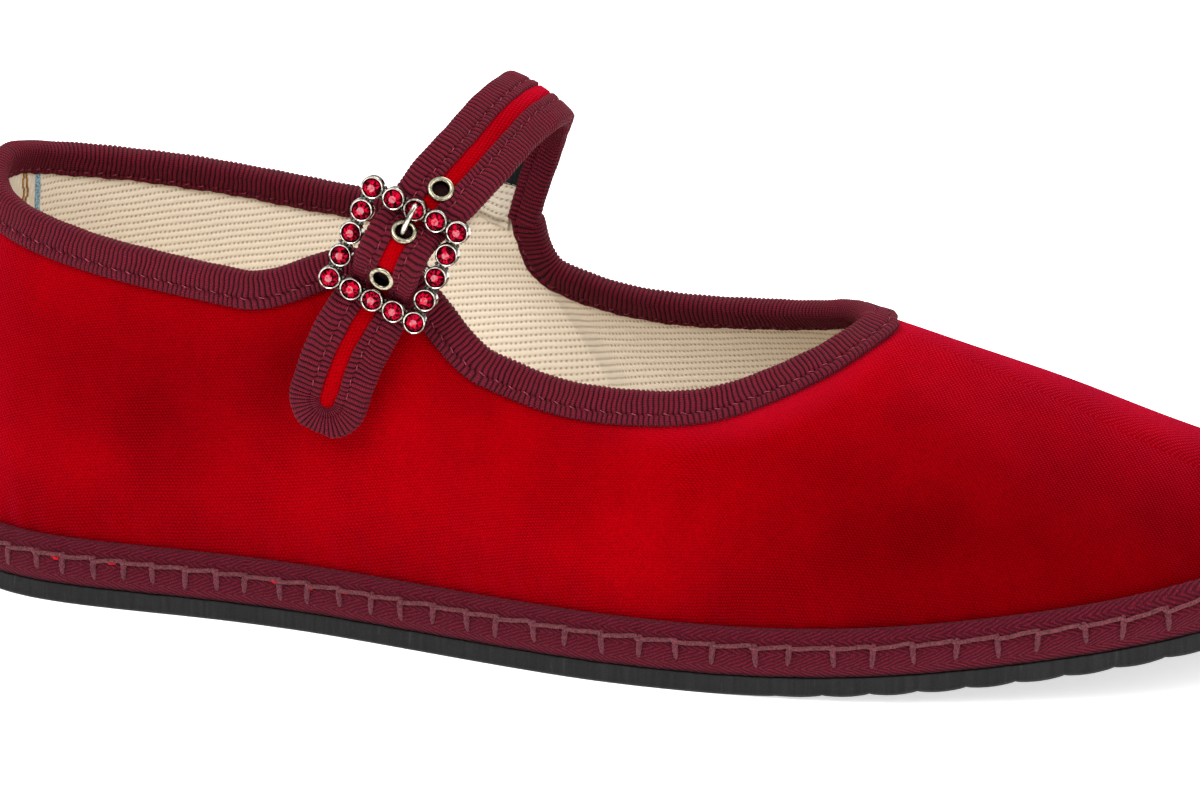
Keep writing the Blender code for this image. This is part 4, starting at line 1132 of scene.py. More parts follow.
def make_collar(looks):
    collar = Collar(looks.collar_pitch / STEPS_A_RIB)
    phase = np.arange(len(collar.run)) / STEPS_A_RIB
    rib = looks.rib_height * rib_shape(phase) * (0.85 + 0.25 * ripple(collar.run * 0.9, collar.run * 0.37))
    end = collar.run[-1]
    calm = (ease(collar.run, 0.0, 3.0) * (1 - ease(collar.run, end - 3, end)))[:, None]
    base = BINDING_GAP + RIBBON - 0.12
    hole = needle_holes(collar.run, 0.4)

    def leg(distances, outside, thick):
        """The ribbon's face down one side of the wall, or the underside of that leg."""
        seam_at, hem = (STITCH_DOWN if outside else STITCH_DOWN_INSIDE), max(distances)
        distance = np.broadcast_to(np.array(distances, float), (len(collar.run), len(distances))).copy()
        seam = np.exp(-((distance - seam_at) / 0.22) ** 2)
        lip = ease(distance, seam_at, seam_at + 0.3)
        last = ease(distance, hem - 0.5, hem - 0.1)
        ragged = ripple(collar.run * 0.9, collar.run * 2.3, collar.run * 0.33)[:, None]
        shift = 0.16 * ripple(collar.run[:, None] * 0.8 + distance * 0.7,
                              distance * 1.9 + collar.run[:, None] * 0.31)
        if outside:
            shift = shift + 0.5 * looks.collar_pitch * lip
            distance += 0.26 * (rib_shape(phase + 0.5)[:, None] - 0.6) * last
        else:
            distance += 0.2 * ragged * last
            distance *= 0.3 + 0.7 * ease(collar.run, 3.0, 8.0)[:, None]
        shift = shift * calm
        if thick:
            off = base + rib[:, None] * (1 - (0.1 if outside else 0.65) * lip) - 0.3 * last
            off = off - seam * (0.3 + 0.2 * hole[:, None]) + (0.1 if outside else -0.05) * lip
        else:
            off = np.full_like(distance, RIBBON_UNDER)
        return collar.beside(distance, shift, off, outside)

    angles = np.tile(COLLAR_CREST, (len(rib), 1))
    crest = collar.crest(angles, base + rib[:, None])
    under = collar.crest(angles, np.full((len(rib), 1), RIBBON_UNDER))
    far = np.concatenate([leg(COLLAR_OUTER, True, True), crest, leg(COLLAR_INNER, False, True)], axis=1)
    near = np.concatenate([leg(COLLAR_OUTER, True, False), under, leg(COLLAR_INNER, False, False)], axis=1)
    piece = skin("collar_ribbon", folded(far, near), ribbon("burgundy ribbon", looks, looks.collar_pitch),
                 along=phase * looks.collar_pitch, across=both_ways(run_along(far[len(far) // 2])[None]))
    belongs(piece, "burgundy_ribbon", "collar_binding")
    make_collar_stitches(looks)


def make_collar_stitches(looks):
    collar = Collar(0.1)
    # The inside stitches take a slightly darker copy of the thread's colour: painted shade
    for name, outside, down, first, reach, colour in zip(
            ("collar_stitches", "collar_stitches_inside"), (True, False), (STITCH_DOWN, STITCH_DOWN_INSIDE),
            STITCH_STARTS, STITCH_REACHES, (looks.stitch, shade(looks.stitch, 0.95))):
        parts = []
        for start in np.arange(first, collar.run[-1] - STITCH_STARTS[0], STITCH_PITCH):
            number = np.flatnonzero(np.abs(collar.run - start) < reach)[::2]
            part = np.linspace(-1, 1, len(number))
            narrow = collar.picked(number)
            distance = (down + 0.1 * math.sin(start * 3.1) + 0.16 * part)[:, None]
            off = (BINDING_GAP + RIBBON + 0.02 - 0.35 * part ** 4)[:, None]
            line = narrow.beside(distance, 0 * distance, off, outside)[:, 0]
            parts.append(tube(line, STITCH_RADIUS, STITCH_SIDES, narrow.normal))
        belongs(many(name, parts, thread(name.replace("_", " "), colour)), "burgundy_ribbon")


# ---------------------------------------------------------------- strap

# Shares of the ribbon's width in from the strap's edge, and angles round that edge
STRAP_FACE = (1.0, 0.96, 0.88, 0.78, 0.7, 0.65, 0.6, 0.55, 0.48, 0.34, 0.16, 0.0)
STRAP_FOLD = (40, 90, 140)
# Where the ribbon and the velvet start, under the collar's ribbon
STRAP_FOOT = -1.4
STRAP_VELVET_FOOT = -1.0
STRAP_TIP = STRAP_LENGTH - STRAP_HALF_WIDTH
STRAP_ARCH = 0.7
# Where the stitches run, as a share of the ribbon's width, and half a stitch's length
STRAP_SEAM = 0.65
STRAP_STITCH_REACH = 0.55
# Radius and depths of the punch that cuts an eyelet's hole in the velvet's show side
PUNCH = ((1.62, 0.1), (1.62, 3.0))
# Radius of the velvet that shows round an eyelet
EYELET_VELVET = 1.85
# The backing's edge across the strap, and how far it goes over the other edge
BACKING_EDGE = 1.5
BACKING_OVER = 1.1


def make_strap(looks):
    make_strap_velvet(looks)
    make_strap_ribbon(looks)
    make_strap_stitches(looks)


def make_strap_velvet(looks):
    round_end = STRAP_TIP + STRAP_HALF_WIDTH * np.sin(np.linspace(0.08, 1.5, 14))
    run = np.concatenate([np.linspace(STRAP_VELVET_FOOT, STRAP_TIP, 280), round_end])
    half = np.where(run < STRAP_TIP, strap_half_width(run),
                    np.sqrt(np.maximum(STRAP_HALF_WIDTH ** 2 - np.maximum(run - STRAP_TIP, 0) ** 2, 0)))
    across = half[:, None] * np.linspace(-1, 1, 15)
    crown = 0.42 + 0.45 * ease(run, 18, 26) * (1 - ease(run, 44, 54))
    front_lift = STRAP_CORE / 2 + 0.2 * np.exp(-(across / 1.3) ** 4)
    back_lift = (-STRAP_CORE / 2 - crown[:, None] * np.exp(-(across / 1.5) ** 6)
                 - strap_arch(run[:, None], across))
    front, back = strap(run[:, None], across, front_lift), strap(run[:, None], across, back_lift)
    piece = skin("strap_velvet", folded(front, back), velvet("red velvet strap cloth", looks),
                 along=run, across=both_ways(across))
    punch_eyelets(piece)
    belongs(piece, "red_velvet", "strap")
    make_strap_backing(looks)


def punch_eyelets(piece):
    """Cut the holes of the eyelets out of the strap."""
    tools = []
    for where in EYELET_RUNS:
        centre = strap(where, 0.0, 0.0)
        axis = strap(where, 0.0, -1.0) - centre
        spots, *faces = turned(PUNCH, centre, axis, 32, capped=True)
        tools.append(add_piece("punch", spots, faces, piece.data.materials[0]))
        change = piece.modifiers.new("eyelet hole", "BOOLEAN")
        change.operation, change.solver, change.object = "DIFFERENCE", "EXACT", tools[-1]
    apply_changes(piece)
    for tool in tools:
        bpy.data.objects.remove(tool)


def strap_arch(run, across):
    """How far the strap's middle stands over its edges where it bends over the foot."""
    bend = ease(run, 12, 24) * (1 - ease(run, 42, 56))
    return STRAP_ARCH * bend * np.maximum(1 - (across / strap_half_width(run)) ** 2, 0)


def make_strap_backing(looks):
    """The lining and the elastic that cover the back of the strap near its root."""
    for name, start, end, material in (
            # the strap's facing is a darker copy of the lining: painted shade
            ("strap_facing", -3.6, 4.6, lining_cloth("cream strap facing", looks, 0.86)),
            ("strap_elastic", 4.3, 15.0, canvas("grey green elastic", looks.elastic, 0.6))):
        run = np.linspace(start, end, 40)[None]
        reach = strap_half_width(np.maximum(run, 0)) + BACKING_OVER
        across = BACKING_EDGE - (BACKING_EDGE + reach) * np.linspace(0, 1, 25)[:, None]
        proud = 1.65 - 1.1 * (1 - ease(run, -3.4, -1.7)) - 0.75 * ease(across, -0.9, 1.0)
        far, near = strap(run, across, proud), strap(run, across, 0.3)
        piece = skin(name, folded(near, far), material, along=-across[:, 0],
                     across=both_ways(np.broadcast_to(run, across.shape)))
        belongs(piece, "cream_insole")


def make_strap_stitches(looks):
    """Short red stitches that hold each ribbon along the strap."""
    parts = []
    share = np.linspace(-1, 1, 7)
    for side in (-1, 1):
        for number, start in enumerate(np.arange(2.0, STRAP_TIP - 1.5, STITCH_PITCH)):
            run = start + STRAP_STITCH_REACH * share
            half = strap_half_width(run)
            middle = side * (half - STRAP_SEAM * (half - stripe_edge(run)))
            across = middle + 0.1 * math.sin(number * 2.7 + side) + 0.1 * share
            lift = STRAP_CORE / 2 + GAP + RIBBON - 0.1 - 0.3 * share ** 4
            lift = lift + strap_arch(run, across)
            out = strap(run, across, -1.0) - strap(run, across, 0.0)
            parts.append(tube(strap(run, across, -lift), STITCH_RADIUS, STITCH_SIDES, out))
    piece = many("strap_stitches", parts, thread("red strap thread", shade(looks.stitch, 0.9)))
    belongs(piece, "burgundy_ribbon")


def apply_changes(piece):
    """Keep what a piece's modifiers make as its own mesh."""
    graph = bpy.context.evaluated_depsgraph_get()
    mesh = bpy.data.meshes.new_from_object(piece.evaluated_get(graph), preserve_all_data_layers=True,
                                           depsgraph=graph)
    piece.modifiers.clear()
    piece.data = mesh


def strap_path(step):
    """Even steps along the strap's edge: run, side, and the direction to its middle."""
    runs = np.linspace(STRAP_FOOT, STRAP_TIP, round((STRAP_TIP - STRAP_FOOT) / step) + 1)[:-1]
    turns = np.linspace(0, math.pi, round(math.pi * STRAP_HALF_WIDTH / step) + 1)
    half = strap_half_width(runs)
    run = np.concatenate([runs, STRAP_TIP + STRAP_HALF_WIDTH * np.sin(turns), runs[::-1]])
    across = np.concatenate([half, STRAP_HALF_WIDTH * np.cos(turns), -half[::-1]])
    inward = np.concatenate([np.stack([0 * runs, 0 * runs - 1], -1),
                             np.stack([-np.sin(turns), -np.cos(turns)], -1),
                             np.stack([0 * runs, 0 * runs + 1], -1)])
    return run, across, inward


def stripe_edge(run):
    """Half the width of the velvet that shows, a little wider where an eyelet sits."""
    edge = np.full_like(run, STRIPE_HALF_WIDTH)
    for where in EYELET_RUNS:
        away = np.abs(run - where)
        edge = np.maximum(edge, np.sqrt(np.maximum(EYELET_VELVET ** 2 - away ** 2, 0)))
    return edge + 0.12 * ripple(run * 0.55, run * 1.3, run * 0.21)


def make_strap_ribbon(looks):
    run, across, inward = strap_path(looks.rib_pitch / STEPS_A_RIB)
    straight = run < STRAP_TIP
    half = np.where(straight, strap_half_width(run), STRAP_HALF_WIDTH)
    width = half - np.where(straight, stripe_edge(run), STRIPE_HALF_WIDTH)
    phase = np.arange(len(run)) / STEPS_A_RIB
    length = phase * looks.rib_pitch
    rib = looks.rib_height * rib_shape(phase) * (0.9 + 0.3 * ripple(length * 1.1, length * 0.43))
    rib, hole = rib[:, None], needle_holes(length, 0.7)[:, None]
    base = STRAP_CORE / 2 + GAP + RIBBON - 0.2

    def point(depth, lift, shift):
        """Points a depth in from the strap's edge, shifted along it."""
        return strap(run[:, None] + inward[:, :1] * depth + shift * inward[:, 1:] * -1,
                     across[:, None] + inward[:, 1:] * depth, lift)

    face = np.array(STRAP_FACE)[None] * width[:, None]
    share = face / width[:, None]
    wobble = 0.2 * ripple(length[:, None] * 0.7 + face * 0.9, face * 1.7 + length[:, None] * 0.23)
    wobble = wobble + 0.4 * looks.rib_pitch * ease(share, 0.6, 0.7)
    wobble = wobble * ease(run, GAP, GAP + 3)[:, None] * (1 - ease(run, STRAP_TIP - 4, STRAP_TIP))[:, None]
    seam = np.exp(-((share - STRAP_SEAM) / 0.055) ** 2)
    edge = 0.22 * (np.array(STRAP_FACE) > 0.985)[None]
    lift = base + rib - seam * (0.28 + 0.2 * hole) - edge
    fold = np.radians(np.array(STRAP_FOLD, float))[None]
    fold_depth = -(GAP + RIBBON - 0.1 + rib * 0.7) * np.sin(fold)
    fold_lift = (base + rib) * np.cos(fold)
    over = strap_arch(run[:, None], np.maximum(half[:, None] - face, 0)) * straight[:, None]
    inner = STRAP_CORE / 2 + 0.08
    near_fold = -0.2 * np.sin(fold) + 0 * rib

    def sheet(top, fold_in, fold_up, bottom):
        """The ribbon's points over the front, round the edge and over the back."""
        return np.concatenate([point(face, top, wobble), point(fold_in, fold_up, 0 * fold_in),
                               point(face[:, ::-1], bottom[:, ::-1], wobble[:, ::-1])], axis=1)

    far = sheet(lift, fold_depth, fold_lift, -(lift + over))
    near = sheet(0 * face + inner, near_fold, inner * np.cos(fold) + 0 * near_fold, 0 * face - inner)
    cloth = ribbon("burgundy strap ribbon cloth", looks, looks.rib_pitch)
    piece = skin("strap_ribbon", folded(far, near), cloth, along=length,
                 across=both_ways(run_along(far[60])[None]))
    belongs(piece, "burgundy_ribbon", "strap_binding")


# ---------------------------------------------------------------- eyelets

# Degrees that each eyelet's rim leans along the strap
EYELET_LEANS = (0.0, 0.0, 15.0)
EYELET_ROUND = 0.42
# A dark disc in each eyelet's hole that stands for the shade there: painted shade
EYELET_SHADE_DISC = ((0.01, 0.24), (1.58, 0.24), (1.58, 0.14), (0.01, 0.14))


def make_eyelets(looks):
    lip = EYELET_FLANGE - EYELET_HOLE
    arc = [(EYELET_HOLE + lip / 2 - lip / 2 * math.cos(turn),
            EYELET_REACH - EYELET_ROUND + EYELET_ROUND * math.sin(turn))
           for turn in np.linspace(0, math.pi, 11)]
    profile = arc + [(EYELET_TUBE, EYELET_REACH - 0.5), (EYELET_TUBE, 0.5 - EYELET_REACH)]
    profile += [(radius, -height) for radius, height in arc[::-1]]
    shine = metal("dark nickel", looks.nickel, 0.2)
    for number, (where, lean) in enumerate(zip(EYELET_RUNS, np.radians(EYELET_LEANS)), 1):
        centre = strap(where, 0.0, 0.0)
        axis = strap(where, 0.0, 1.0) - centre
        leaning = axis * math.cos(lean) + unit(strap(where + 0.5, 0.0, 0.0) - centre) * math.sin(lean)
        piece = many(f"eyelet_rim_{number}", [turned(profile, centre, leaning, 48)], shine)
        away = np.linalg.norm(np.cross(points_of(piece) - centre, leaning), axis=-1)
        # painted shade inside the eyelet's hole
        mark(piece, "recess", 1 - ease(away, EYELET_HOLE + 0.02, EYELET_HOLE + 0.22))
        belongs(piece, "dark_nickel", f"eyelet_{number}")
        # a dark disc of painted shade down in the hole
        floor = [turned(EYELET_SHADE_DISC, centre, -axis, 24)]
        belongs(many(f"eyelet_floor_{number}", floor, canvas("dark cloth in an eyelet", looks.painted_hollow_shade)),
                "dark_nickel")


# ---------------------------------------------------------------- buckle

def stone_places():
    """Where the stones sit round the frame, from the back top corner round by the toe side."""
    last = STONES_A_SIDE - 1
    ring = [(step, 0) for step in range(last)] + [(last, step) for step in range(last)]
    ring += [(last - step, last) for step in range(last)] + [(0, last - step) for step in range(last)]
    return [((column / last - 0.5) * BUCKLE_WIDTH, (0.5 - row / last) * BUCKLE_HEIGHT)
            for column, row in ring]


LINK_RADIUS = 0.42
LINK_HEIGHT = 0.75
BEAD_RADIUS = 0.3
BEAD_HEIGHT = 1.05
BEAD_ASIDE = 0.95


def make_frame(silver):
    """The cups that hold the stones, the links between them, and a bead on each side of a link."""
    out = buckle_axes()[2]
    floor = CUP_HEIGHT - CUP_DEPTH
    rim = [(CUP_RADIUS, 0.25), (CUP_RADIUS, CUP_HEIGHT - 0.35), (CUP_RADIUS - 0.05, CUP_HEIGHT - 0.08),
           (CUP_RADIUS - 0.17, CUP_HEIGHT + 0.02), (CUP_RADIUS - 0.32, CUP_HEIGHT - 0.02),
           (CUP_HOLLOW, CUP_HEIGHT - 0.16), (CUP_HOLLOW - 0.05, floor + 0.1)]
    cup = [(0.01, 0.0), (CUP_RADIUS - 0.3, 0.0), *rim, (CUP_HOLLOW - 0.15, floor), (0.01, floor)]
    ball = [(BEAD_RADIUS * math.sin(turn) + 0.005, BEAD_HEIGHT - BEAD_RADIUS * math.cos(turn))
            for turn in np.linspace(0.05, 3.09, 8)]
    spots = np.array(stone_places())
    parts = [turned(cup, on_buckle(*spot, 0.0), out, 40, capped=True) for spot in spots]
    for spot, after in zip(spots, np.roll(spots, -1, 0)):
        parts.append(tube(on_buckle(*np.linspace(spot, after, 5).T, LINK_HEIGHT), LINK_RADIUS, 12, out))
        side = np.array([after[1] - spot[1], spot[0] - after[0]]) / np.linalg.norm(after - spot)
        for way in (-1, 1):
            bead = (spot + after) / 2 + way * side * BEAD_ASIDE
            parts.append(turned(ball, on_buckle(*bead, 0.0), out, 14, capped=True))
    cups = many("buckle_cups", parts, silver, sharp=50.0)
    place = points_of(cups)
    away = np.min([np.linalg.norm(np.cross(place - on_buckle(*spot, 0.0), out), axis=-1)
                   for spot in spots], axis=0)
    height = (place - on_buckle(0.0, 0.0, 0.0)) @ out
    # painted shade low on the cups' sides and in their hollows
    low = (1 - ease(height, CUP_HEIGHT - 0.5, CUP_HEIGHT - 0.12)) * ease(height, 0.2, 0.8)
    painted_hollow_shade = 1 - ease(away, CUP_HOLLOW - 0.05, CUP_HOLLOW + 0.06)
    mark(cups, "recess", np.maximum(low, painted_hollow_shade) * ease(height, 0.1, 0.4))
    belongs(cups, "silver_metal", "buckle_frame")


def make_buckle(looks):
    silver = metal("bright silver", looks.silver, 0.1)
    make_frame(silver)
    red = glass("cut red glass", looks)
    for number, spot in enumerate(stone_places(), 1):
        belongs(cut_stone(number, spot, red), "red_glass", f"stone_{number:02d}")

    reach = BUCKLE_WIDTH / 2 - CUP_RADIUS + 0.15
    line = on_buckle(np.linspace(-reach, reach, 9), 0.0, -BAR_DROP)
    bar = many("buckle_bar_rod", [tube(line, BAR_RADIUS, 20, buckle_axes()[1])], silver)
    belongs(bar, "silver_metal", "buckle_bar")

    angles = np.radians(PRONG_HOOK_ARC)
    hook = np.stack([PRONG_HOOK * np.sin(angles), PRONG_HOOK * np.cos(angles) - BAR_DROP], -1)
    curve = smooth_rows([*hook.tolist(), *PRONG_ROUTE])
    route = curve(np.linspace(0, len(hook) + len(PRONG_ROUTE) - 1, 80))
    line = on_buckle(0 * route[:, 0], route[:, 0], route[:, 1])
    prong = many("buckle_prong_wire", [tube(line, PRONG_RADIUS, 20, buckle_axes()[0])], silver)
    belongs(prong, "silver_metal", "buckle_prong")
    make_keepers(looks)


# Radius, height over the cup's rim, number of corners, and turn in steps
STONE_RINGS = ((0.62, 0.42, 8, 0.0), (1.02, 0.2, 8, 0.5), (STONE_RADIUS, -0.16, 16, 0.0),
               (STONE_RADIUS, -0.3, 16, 0.0))
# The range of painted reflection that a facet of each kind may get
PAINTED_REFLECTION_RANGES = {"table": (1.15, 1.6), "star": (0.1, 1.0), "kite": (0.0, 0.9), "edge": (0.0, 0.8)}


def facets(table, middle, girdle, under, culet):
    """The kind and the three corners of each facet, from the table down to the culet."""
    found = [("table", table[0], table[step], table[step + 1]) for step in range(1, 7)]
    for step, (top, low) in enumerate(zip(table, middle)):
        near, edge, far = girdle[2 * step], girdle[2 * step + 1], girdle[(2 * step + 2) % 16]
        found += [("star", top, low, table[(step + 1) % 8]), ("kite", top, middle[step - 1], near),
                  ("kite", top, near, low), ("edge", low, near, edge), ("edge", low, edge, far)]
    for here, below, after, below_after in zip(girdle, under, np.roll(girdle, -1), np.roll(under, -1)):
        found += [("edge", here, below, after), ("edge", after, below, below_after),
                  ("edge", below, culet, below_after)]
    return found


def cut_stone(number, spot, material):
    """A round cut stone: a table, a ring of star and kite facets, and small facets at its girdle."""
    random = np.random.default_rng(100 + number)
    spin = random.uniform(0, math.pi / 4)
    points, rings, count = [], [], 0
    for radius, height, sides, shift in STONE_RINGS:
        angles = spin + 2 * math.pi * (np.arange(sides) + shift) / sides
        points.append(on_buckle(spot[0] + radius * np.cos(angles), spot[1] + radius * np.sin(angles),
                                CUP_HEIGHT + height))
        rings.append(np.arange(count, count + sides))
        count += sides
    points.append(on_buckle(*spot, CUP_HEIGHT - CUP_DEPTH + 0.12)[None])
    kinds, *corners = zip(*facets(*rings, count))
    piece = add_piece(f"cut_stone_{number:02d}", np.vstack(points), [np.array(corners).T], material,
                      smooth=False)
    layer = piece.data.attributes.new("spark", "FLOAT", "FACE")
    reflection_levels = np.array([random.uniform(*PAINTED_REFLECTION_RANGES[kind]) for kind in kinds], np.float32)
    layer.data.foreach_set("value", reflection_levels)
    return piece


def make_keepers(looks):
    """Two loops of cloth that hold the buckle's bar to the strap's root."""
    cloth = thread("burgundy keeper cloth", looks.ribbon)
    bar = np.array([0.0, -BAR_DROP])
    away = unit(np.array(KEEPER_END) - bar)
    side = np.array([-away[1], away[0]])
    angles = np.radians(np.linspace(*KEEPER_ARC, 33))
    ways = np.cos(angles)[:, None] * away + np.sin(angles)[:, None] * side
    inner, outer = KEEPER_RADIUS - KEEPER_THICKNESS / 2, KEEPER_RADIUS + KEEPER_THICKNESS / 2
    loops = []
    for radius in (outer, inner):
        spread = KEEPER_SPREAD + (KEEPER_THICKNESS if radius > KEEPER_RADIUS else 0.0)
        legs = [np.array(KEEPER_END) + sign * spread * side for sign in (1, -1)]
        loops.append(np.vstack([legs[0], bar + radius * ways, legs[1]]))
    outline = np.vstack([loops[0], loops[1][::-1]])
    edges = np.linspace(-KEEPER_WIDTH / 2, KEEPER_WIDTH / 2, 15)
    for number, offset in enumerate((-KEEPER_OFFSET, KEEPER_OFFSET), 1):
        rows = [on_buckle(offset + edge, outline[:, 0], outline[:, 1]) for edge in edges]
        piece = skin(f"keeper_loop_{number}", np.array(rows), cloth, sharp=50.0)
        belongs(piece, "burgundy_ribbon", f"buckle_keeper_{number}")


# ---------------------------------------------------------------- sole

# Parts of half a groove's width, and the share of its depth there
GROOVE_SECTION = ((-1.0, 0.0), (-0.85, 0.25), (-0.45, 0.9), (0.0, 1.0), (0.45, 0.9), (0.85, 0.25),
                  (1.0, 0.0))
# Heights up the rubber's cut side, and how far in it is cut there
SIDE_SECTION = ((EDGE_CHAMFER, 0.0), (1.2, 0.1), (2.2, 0.05), (RUBBER - 0.15, 0.15))
SOLE_COLUMNS = 12
BED_COLUMNS = 22


def tread_lengths(back, front):
    """Lengths along the sole, closest at its ends and its grooves, and the tread's lift at each."""
    lengths = {float(x): 0.0 for x in crowded(back, front, 261)}
    groove = TREAD_START
    while groove < TREAD_END:
        for x in [x for x in lengths if abs(x - groove) < GROOVE_WIDTH * 0.7]:
            del lengths[x]
        for part, depth in GROOVE_SECTION:
            lengths[groove + part * GROOVE_WIDTH / 2] = depth * GROOVE_DEPTH
        groove += TREAD_PITCH
    return (np.array(part) for part in zip(*sorted(lengths.items())))


def make_outsole(looks):
    """The rubber sole: grooves across its tread, and a side cut by hand."""
    widths, back, front = outline_widths(0.0)
    x, lift = tread_lengths(back + 0.12, front - 0.12)
    outer, inner = widths(x)
    chamfer = np.minimum(EDGE_CHAMFER, (inner - outer) / 4)
    share = np.linspace(0, 1, SOLE_COLUMNS)
    bottom = (outer + chamfer)[:, None] * (1 - share) + (inner - chamfer)[:, None] * share
    scallop = 0.45 * (1 - np.abs(np.sin(np.pi * (x - TREAD_START) / TREAD_PITCH)) ** 0.7)
    edge_lift = scallop * ease(x, TREAD_OPEN, TREAD_OPEN + 25.0)
    inside = 1 - np.maximum(1 - np.minimum(bottom - bottom[:, :1], bottom[:, -1:] - bottom) / 3.0, 0)
    raised = edge_lift[:, None] * (1 - inside) + lift[:, None] * inside
    cut = 0.12 * ripple(x * 2.3, x * 5.1, x * 0.9)

    def row(y, height):
        x_all = np.broadcast_to(x[:, None], y.shape)
        return np.stack([x_all, y, ground(x_all, y) + height], -1)

    tall, inset = np.array(SIDE_SECTION).T
    side_low = edge_lift[:, None] * (1 - (tall - EDGE_CHAMFER) / RUBBER)
    inset = inset * ease(inner - outer, 1, 12)[:, None]
    right = row(inner[:, None] - inset + cut[:, None] * 0.6, tall[None] + side_low)
    left = row(outer[:, None] + inset - cut[:, None] * 0.6, tall[None] + side_low)
    flat = (inner - 0.3)[:, None] * (1 - share) + (outer + 0.3)[:, None] * share
    grid = np.concatenate([left[:, 3:1:-1], left[:, 1::-1], row(bottom, raised), right,
                           row(flat, np.full_like(flat, RUBBER))], axis=1)
    belongs(skin("tyre_sole", grid, rubber("tyre rubber", looks), sharp=35.0), "tyre_rubber", "outsole")


def make_foot_bed(looks):
    """The cloth under the foot, a little cupped at both sides."""
    widths, back, front = outline_widths(INSOLE_INSET)
    x = crowded(back + 0.2, front - 0.2 - INSOLE_TOE_CUT, 121)
    outer, inner = widths(x)
    trim = INSOLE_TOE_CUT / 2 * ease(x, *TOE_TRIM)
    share = np.linspace(0, 1, BED_COLUMNS)
    spread = (outer + trim)[:, None] * (1 - share) + (inner - trim)[:, None] * share
    x_all = np.broadcast_to(x[:, None], spread.shape)
    cup = INSOLE_CUP * (2 * np.abs(share - 0.5)) ** 2
    base = ground(x_all, spread) + MIDSOLE_TOP + GAP
    under = np.stack([x_all, spread, base], -1)
    over = np.stack([x_all, spread, base + INSOLE_THICKNESS + cup], -1)
    bed = skin("foot_bed", folded(under, over), canvas("cream foot bed cloth", looks.lining), sharp=50.0)
    belongs(bed, "cream_insole", "insole")


def make_sole(looks):
    make_outsole(looks)
    make_foot_bed(looks)
    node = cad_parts["midsole"]
    node.data.materials.clear()
    node.data.materials.append(canvas("layered cloth sole", shade(looks.lining, 0.9)))


# ---------------------------------------------------------------- tape and blanket stitch

class Tape:
    """The tape's outer face round the shoe: its places, its face's points and its run."""

    def __init__(self, step):
        fine = np.linspace(0, len(STATIONS), 6401)
        outline = on_outline(fine, 0.5, 5.6)
        run = run_along(outline)
        self.length = run[-1]
        self.run = np.linspace(0, self.length, round(self.length / step) + 1)[:-1]
        self.place = np.interp(self.run, run, fine)
        low = [on_outline(self.place, *spot) for spot in TAPE_OUTSIDE]
        heights = heights_at(self.place, [spot[0] for spot in TAPE_LAP])
        lap = []
        for number, (_, off) in enumerate(TAPE_LAP):
            height = heights[:, number]
            lap.append(wall(self.place, height) + off * wall_slopes(self.place, height)[2])
        inside = [on_outline(self.place, *spot) for spot in TAPE_INSIDE]
        self.corners = np.stack(low + lap[:2], axis=1)
        self.hidden = np.stack([lap[2], *inside], axis=1)

    def face(self, parts):
        """Points of the outer face: 0 at its lower edge, 4 at its top edge."""
        basis = smooth_rows(np.eye(5))(np.asarray(parts, float))
        return np.einsum("tk,nkc->ntc", basis, self.corners)

    def ways(self, parts):
        """The outer face's points, and the directions down it, round the shoe and out of it."""
        face = self.face(parts)
        down = unit(np.gradient(face, axis=1))
        around = unit(np.roll(face, -1, 0) - np.roll(face, 1, 0))
        return face, down, around, unit(np.cross(around, down))


# Parts of the tape's width, as Tape.face counts them
TAPE_PARTS = (0.0, 0.3, 0.7, 1.1, 1.5, 1.9, 2.3, 2.6, 2.9, 3.2, 3.5, 3.75, 3.93, 4.0)
CORD_PART = 2.2
# Lengths along the cord for one bar, at the heel and how much more at the toe
BAR_PITCH = 5.05
BAR_PITCH_MORE = 1.95
STITCH_START = 0.5
CORD_RADIUS = 0.33
CORD_LAY = 1.2
CORD_OFF = 0.36
BAR_LENGTH = 1.3
# A bar's radius at shares of its length
BAR_RADII = ((0, 0.34), (0.2, 0.42), (0.6, 0.4), (0.9, 0.28), (1, 0.16))
# Each wisp of velvet: the bar beside it, and how far it stands up the tape
TUFTS = ((9.72, 0.0), (11.62, 0.05), (16.85, 0.1), (16.95, 0.04), (18.02, 0.0), (19.15, 0.05))
TUFT_COLOUR = (0.72, 0.0, 0.1)


def stitch_phase(run, length):
    """Counts the blanket stitch's bars round the sole: closer at the heel, wider at the toe."""
    fine = np.linspace(0, length, 2001)
    toe = np.sin(np.pi * fine / length) ** 2
    count = np.concatenate([[0.0], np.cumsum(np.diff(fine) / (BAR_PITCH + BAR_PITCH_MORE * toe[1:]))])
    count *= round(count[-1]) / count[-1]
    return np.interp(run, fine, count) + STITCH_START, round(count[-1])


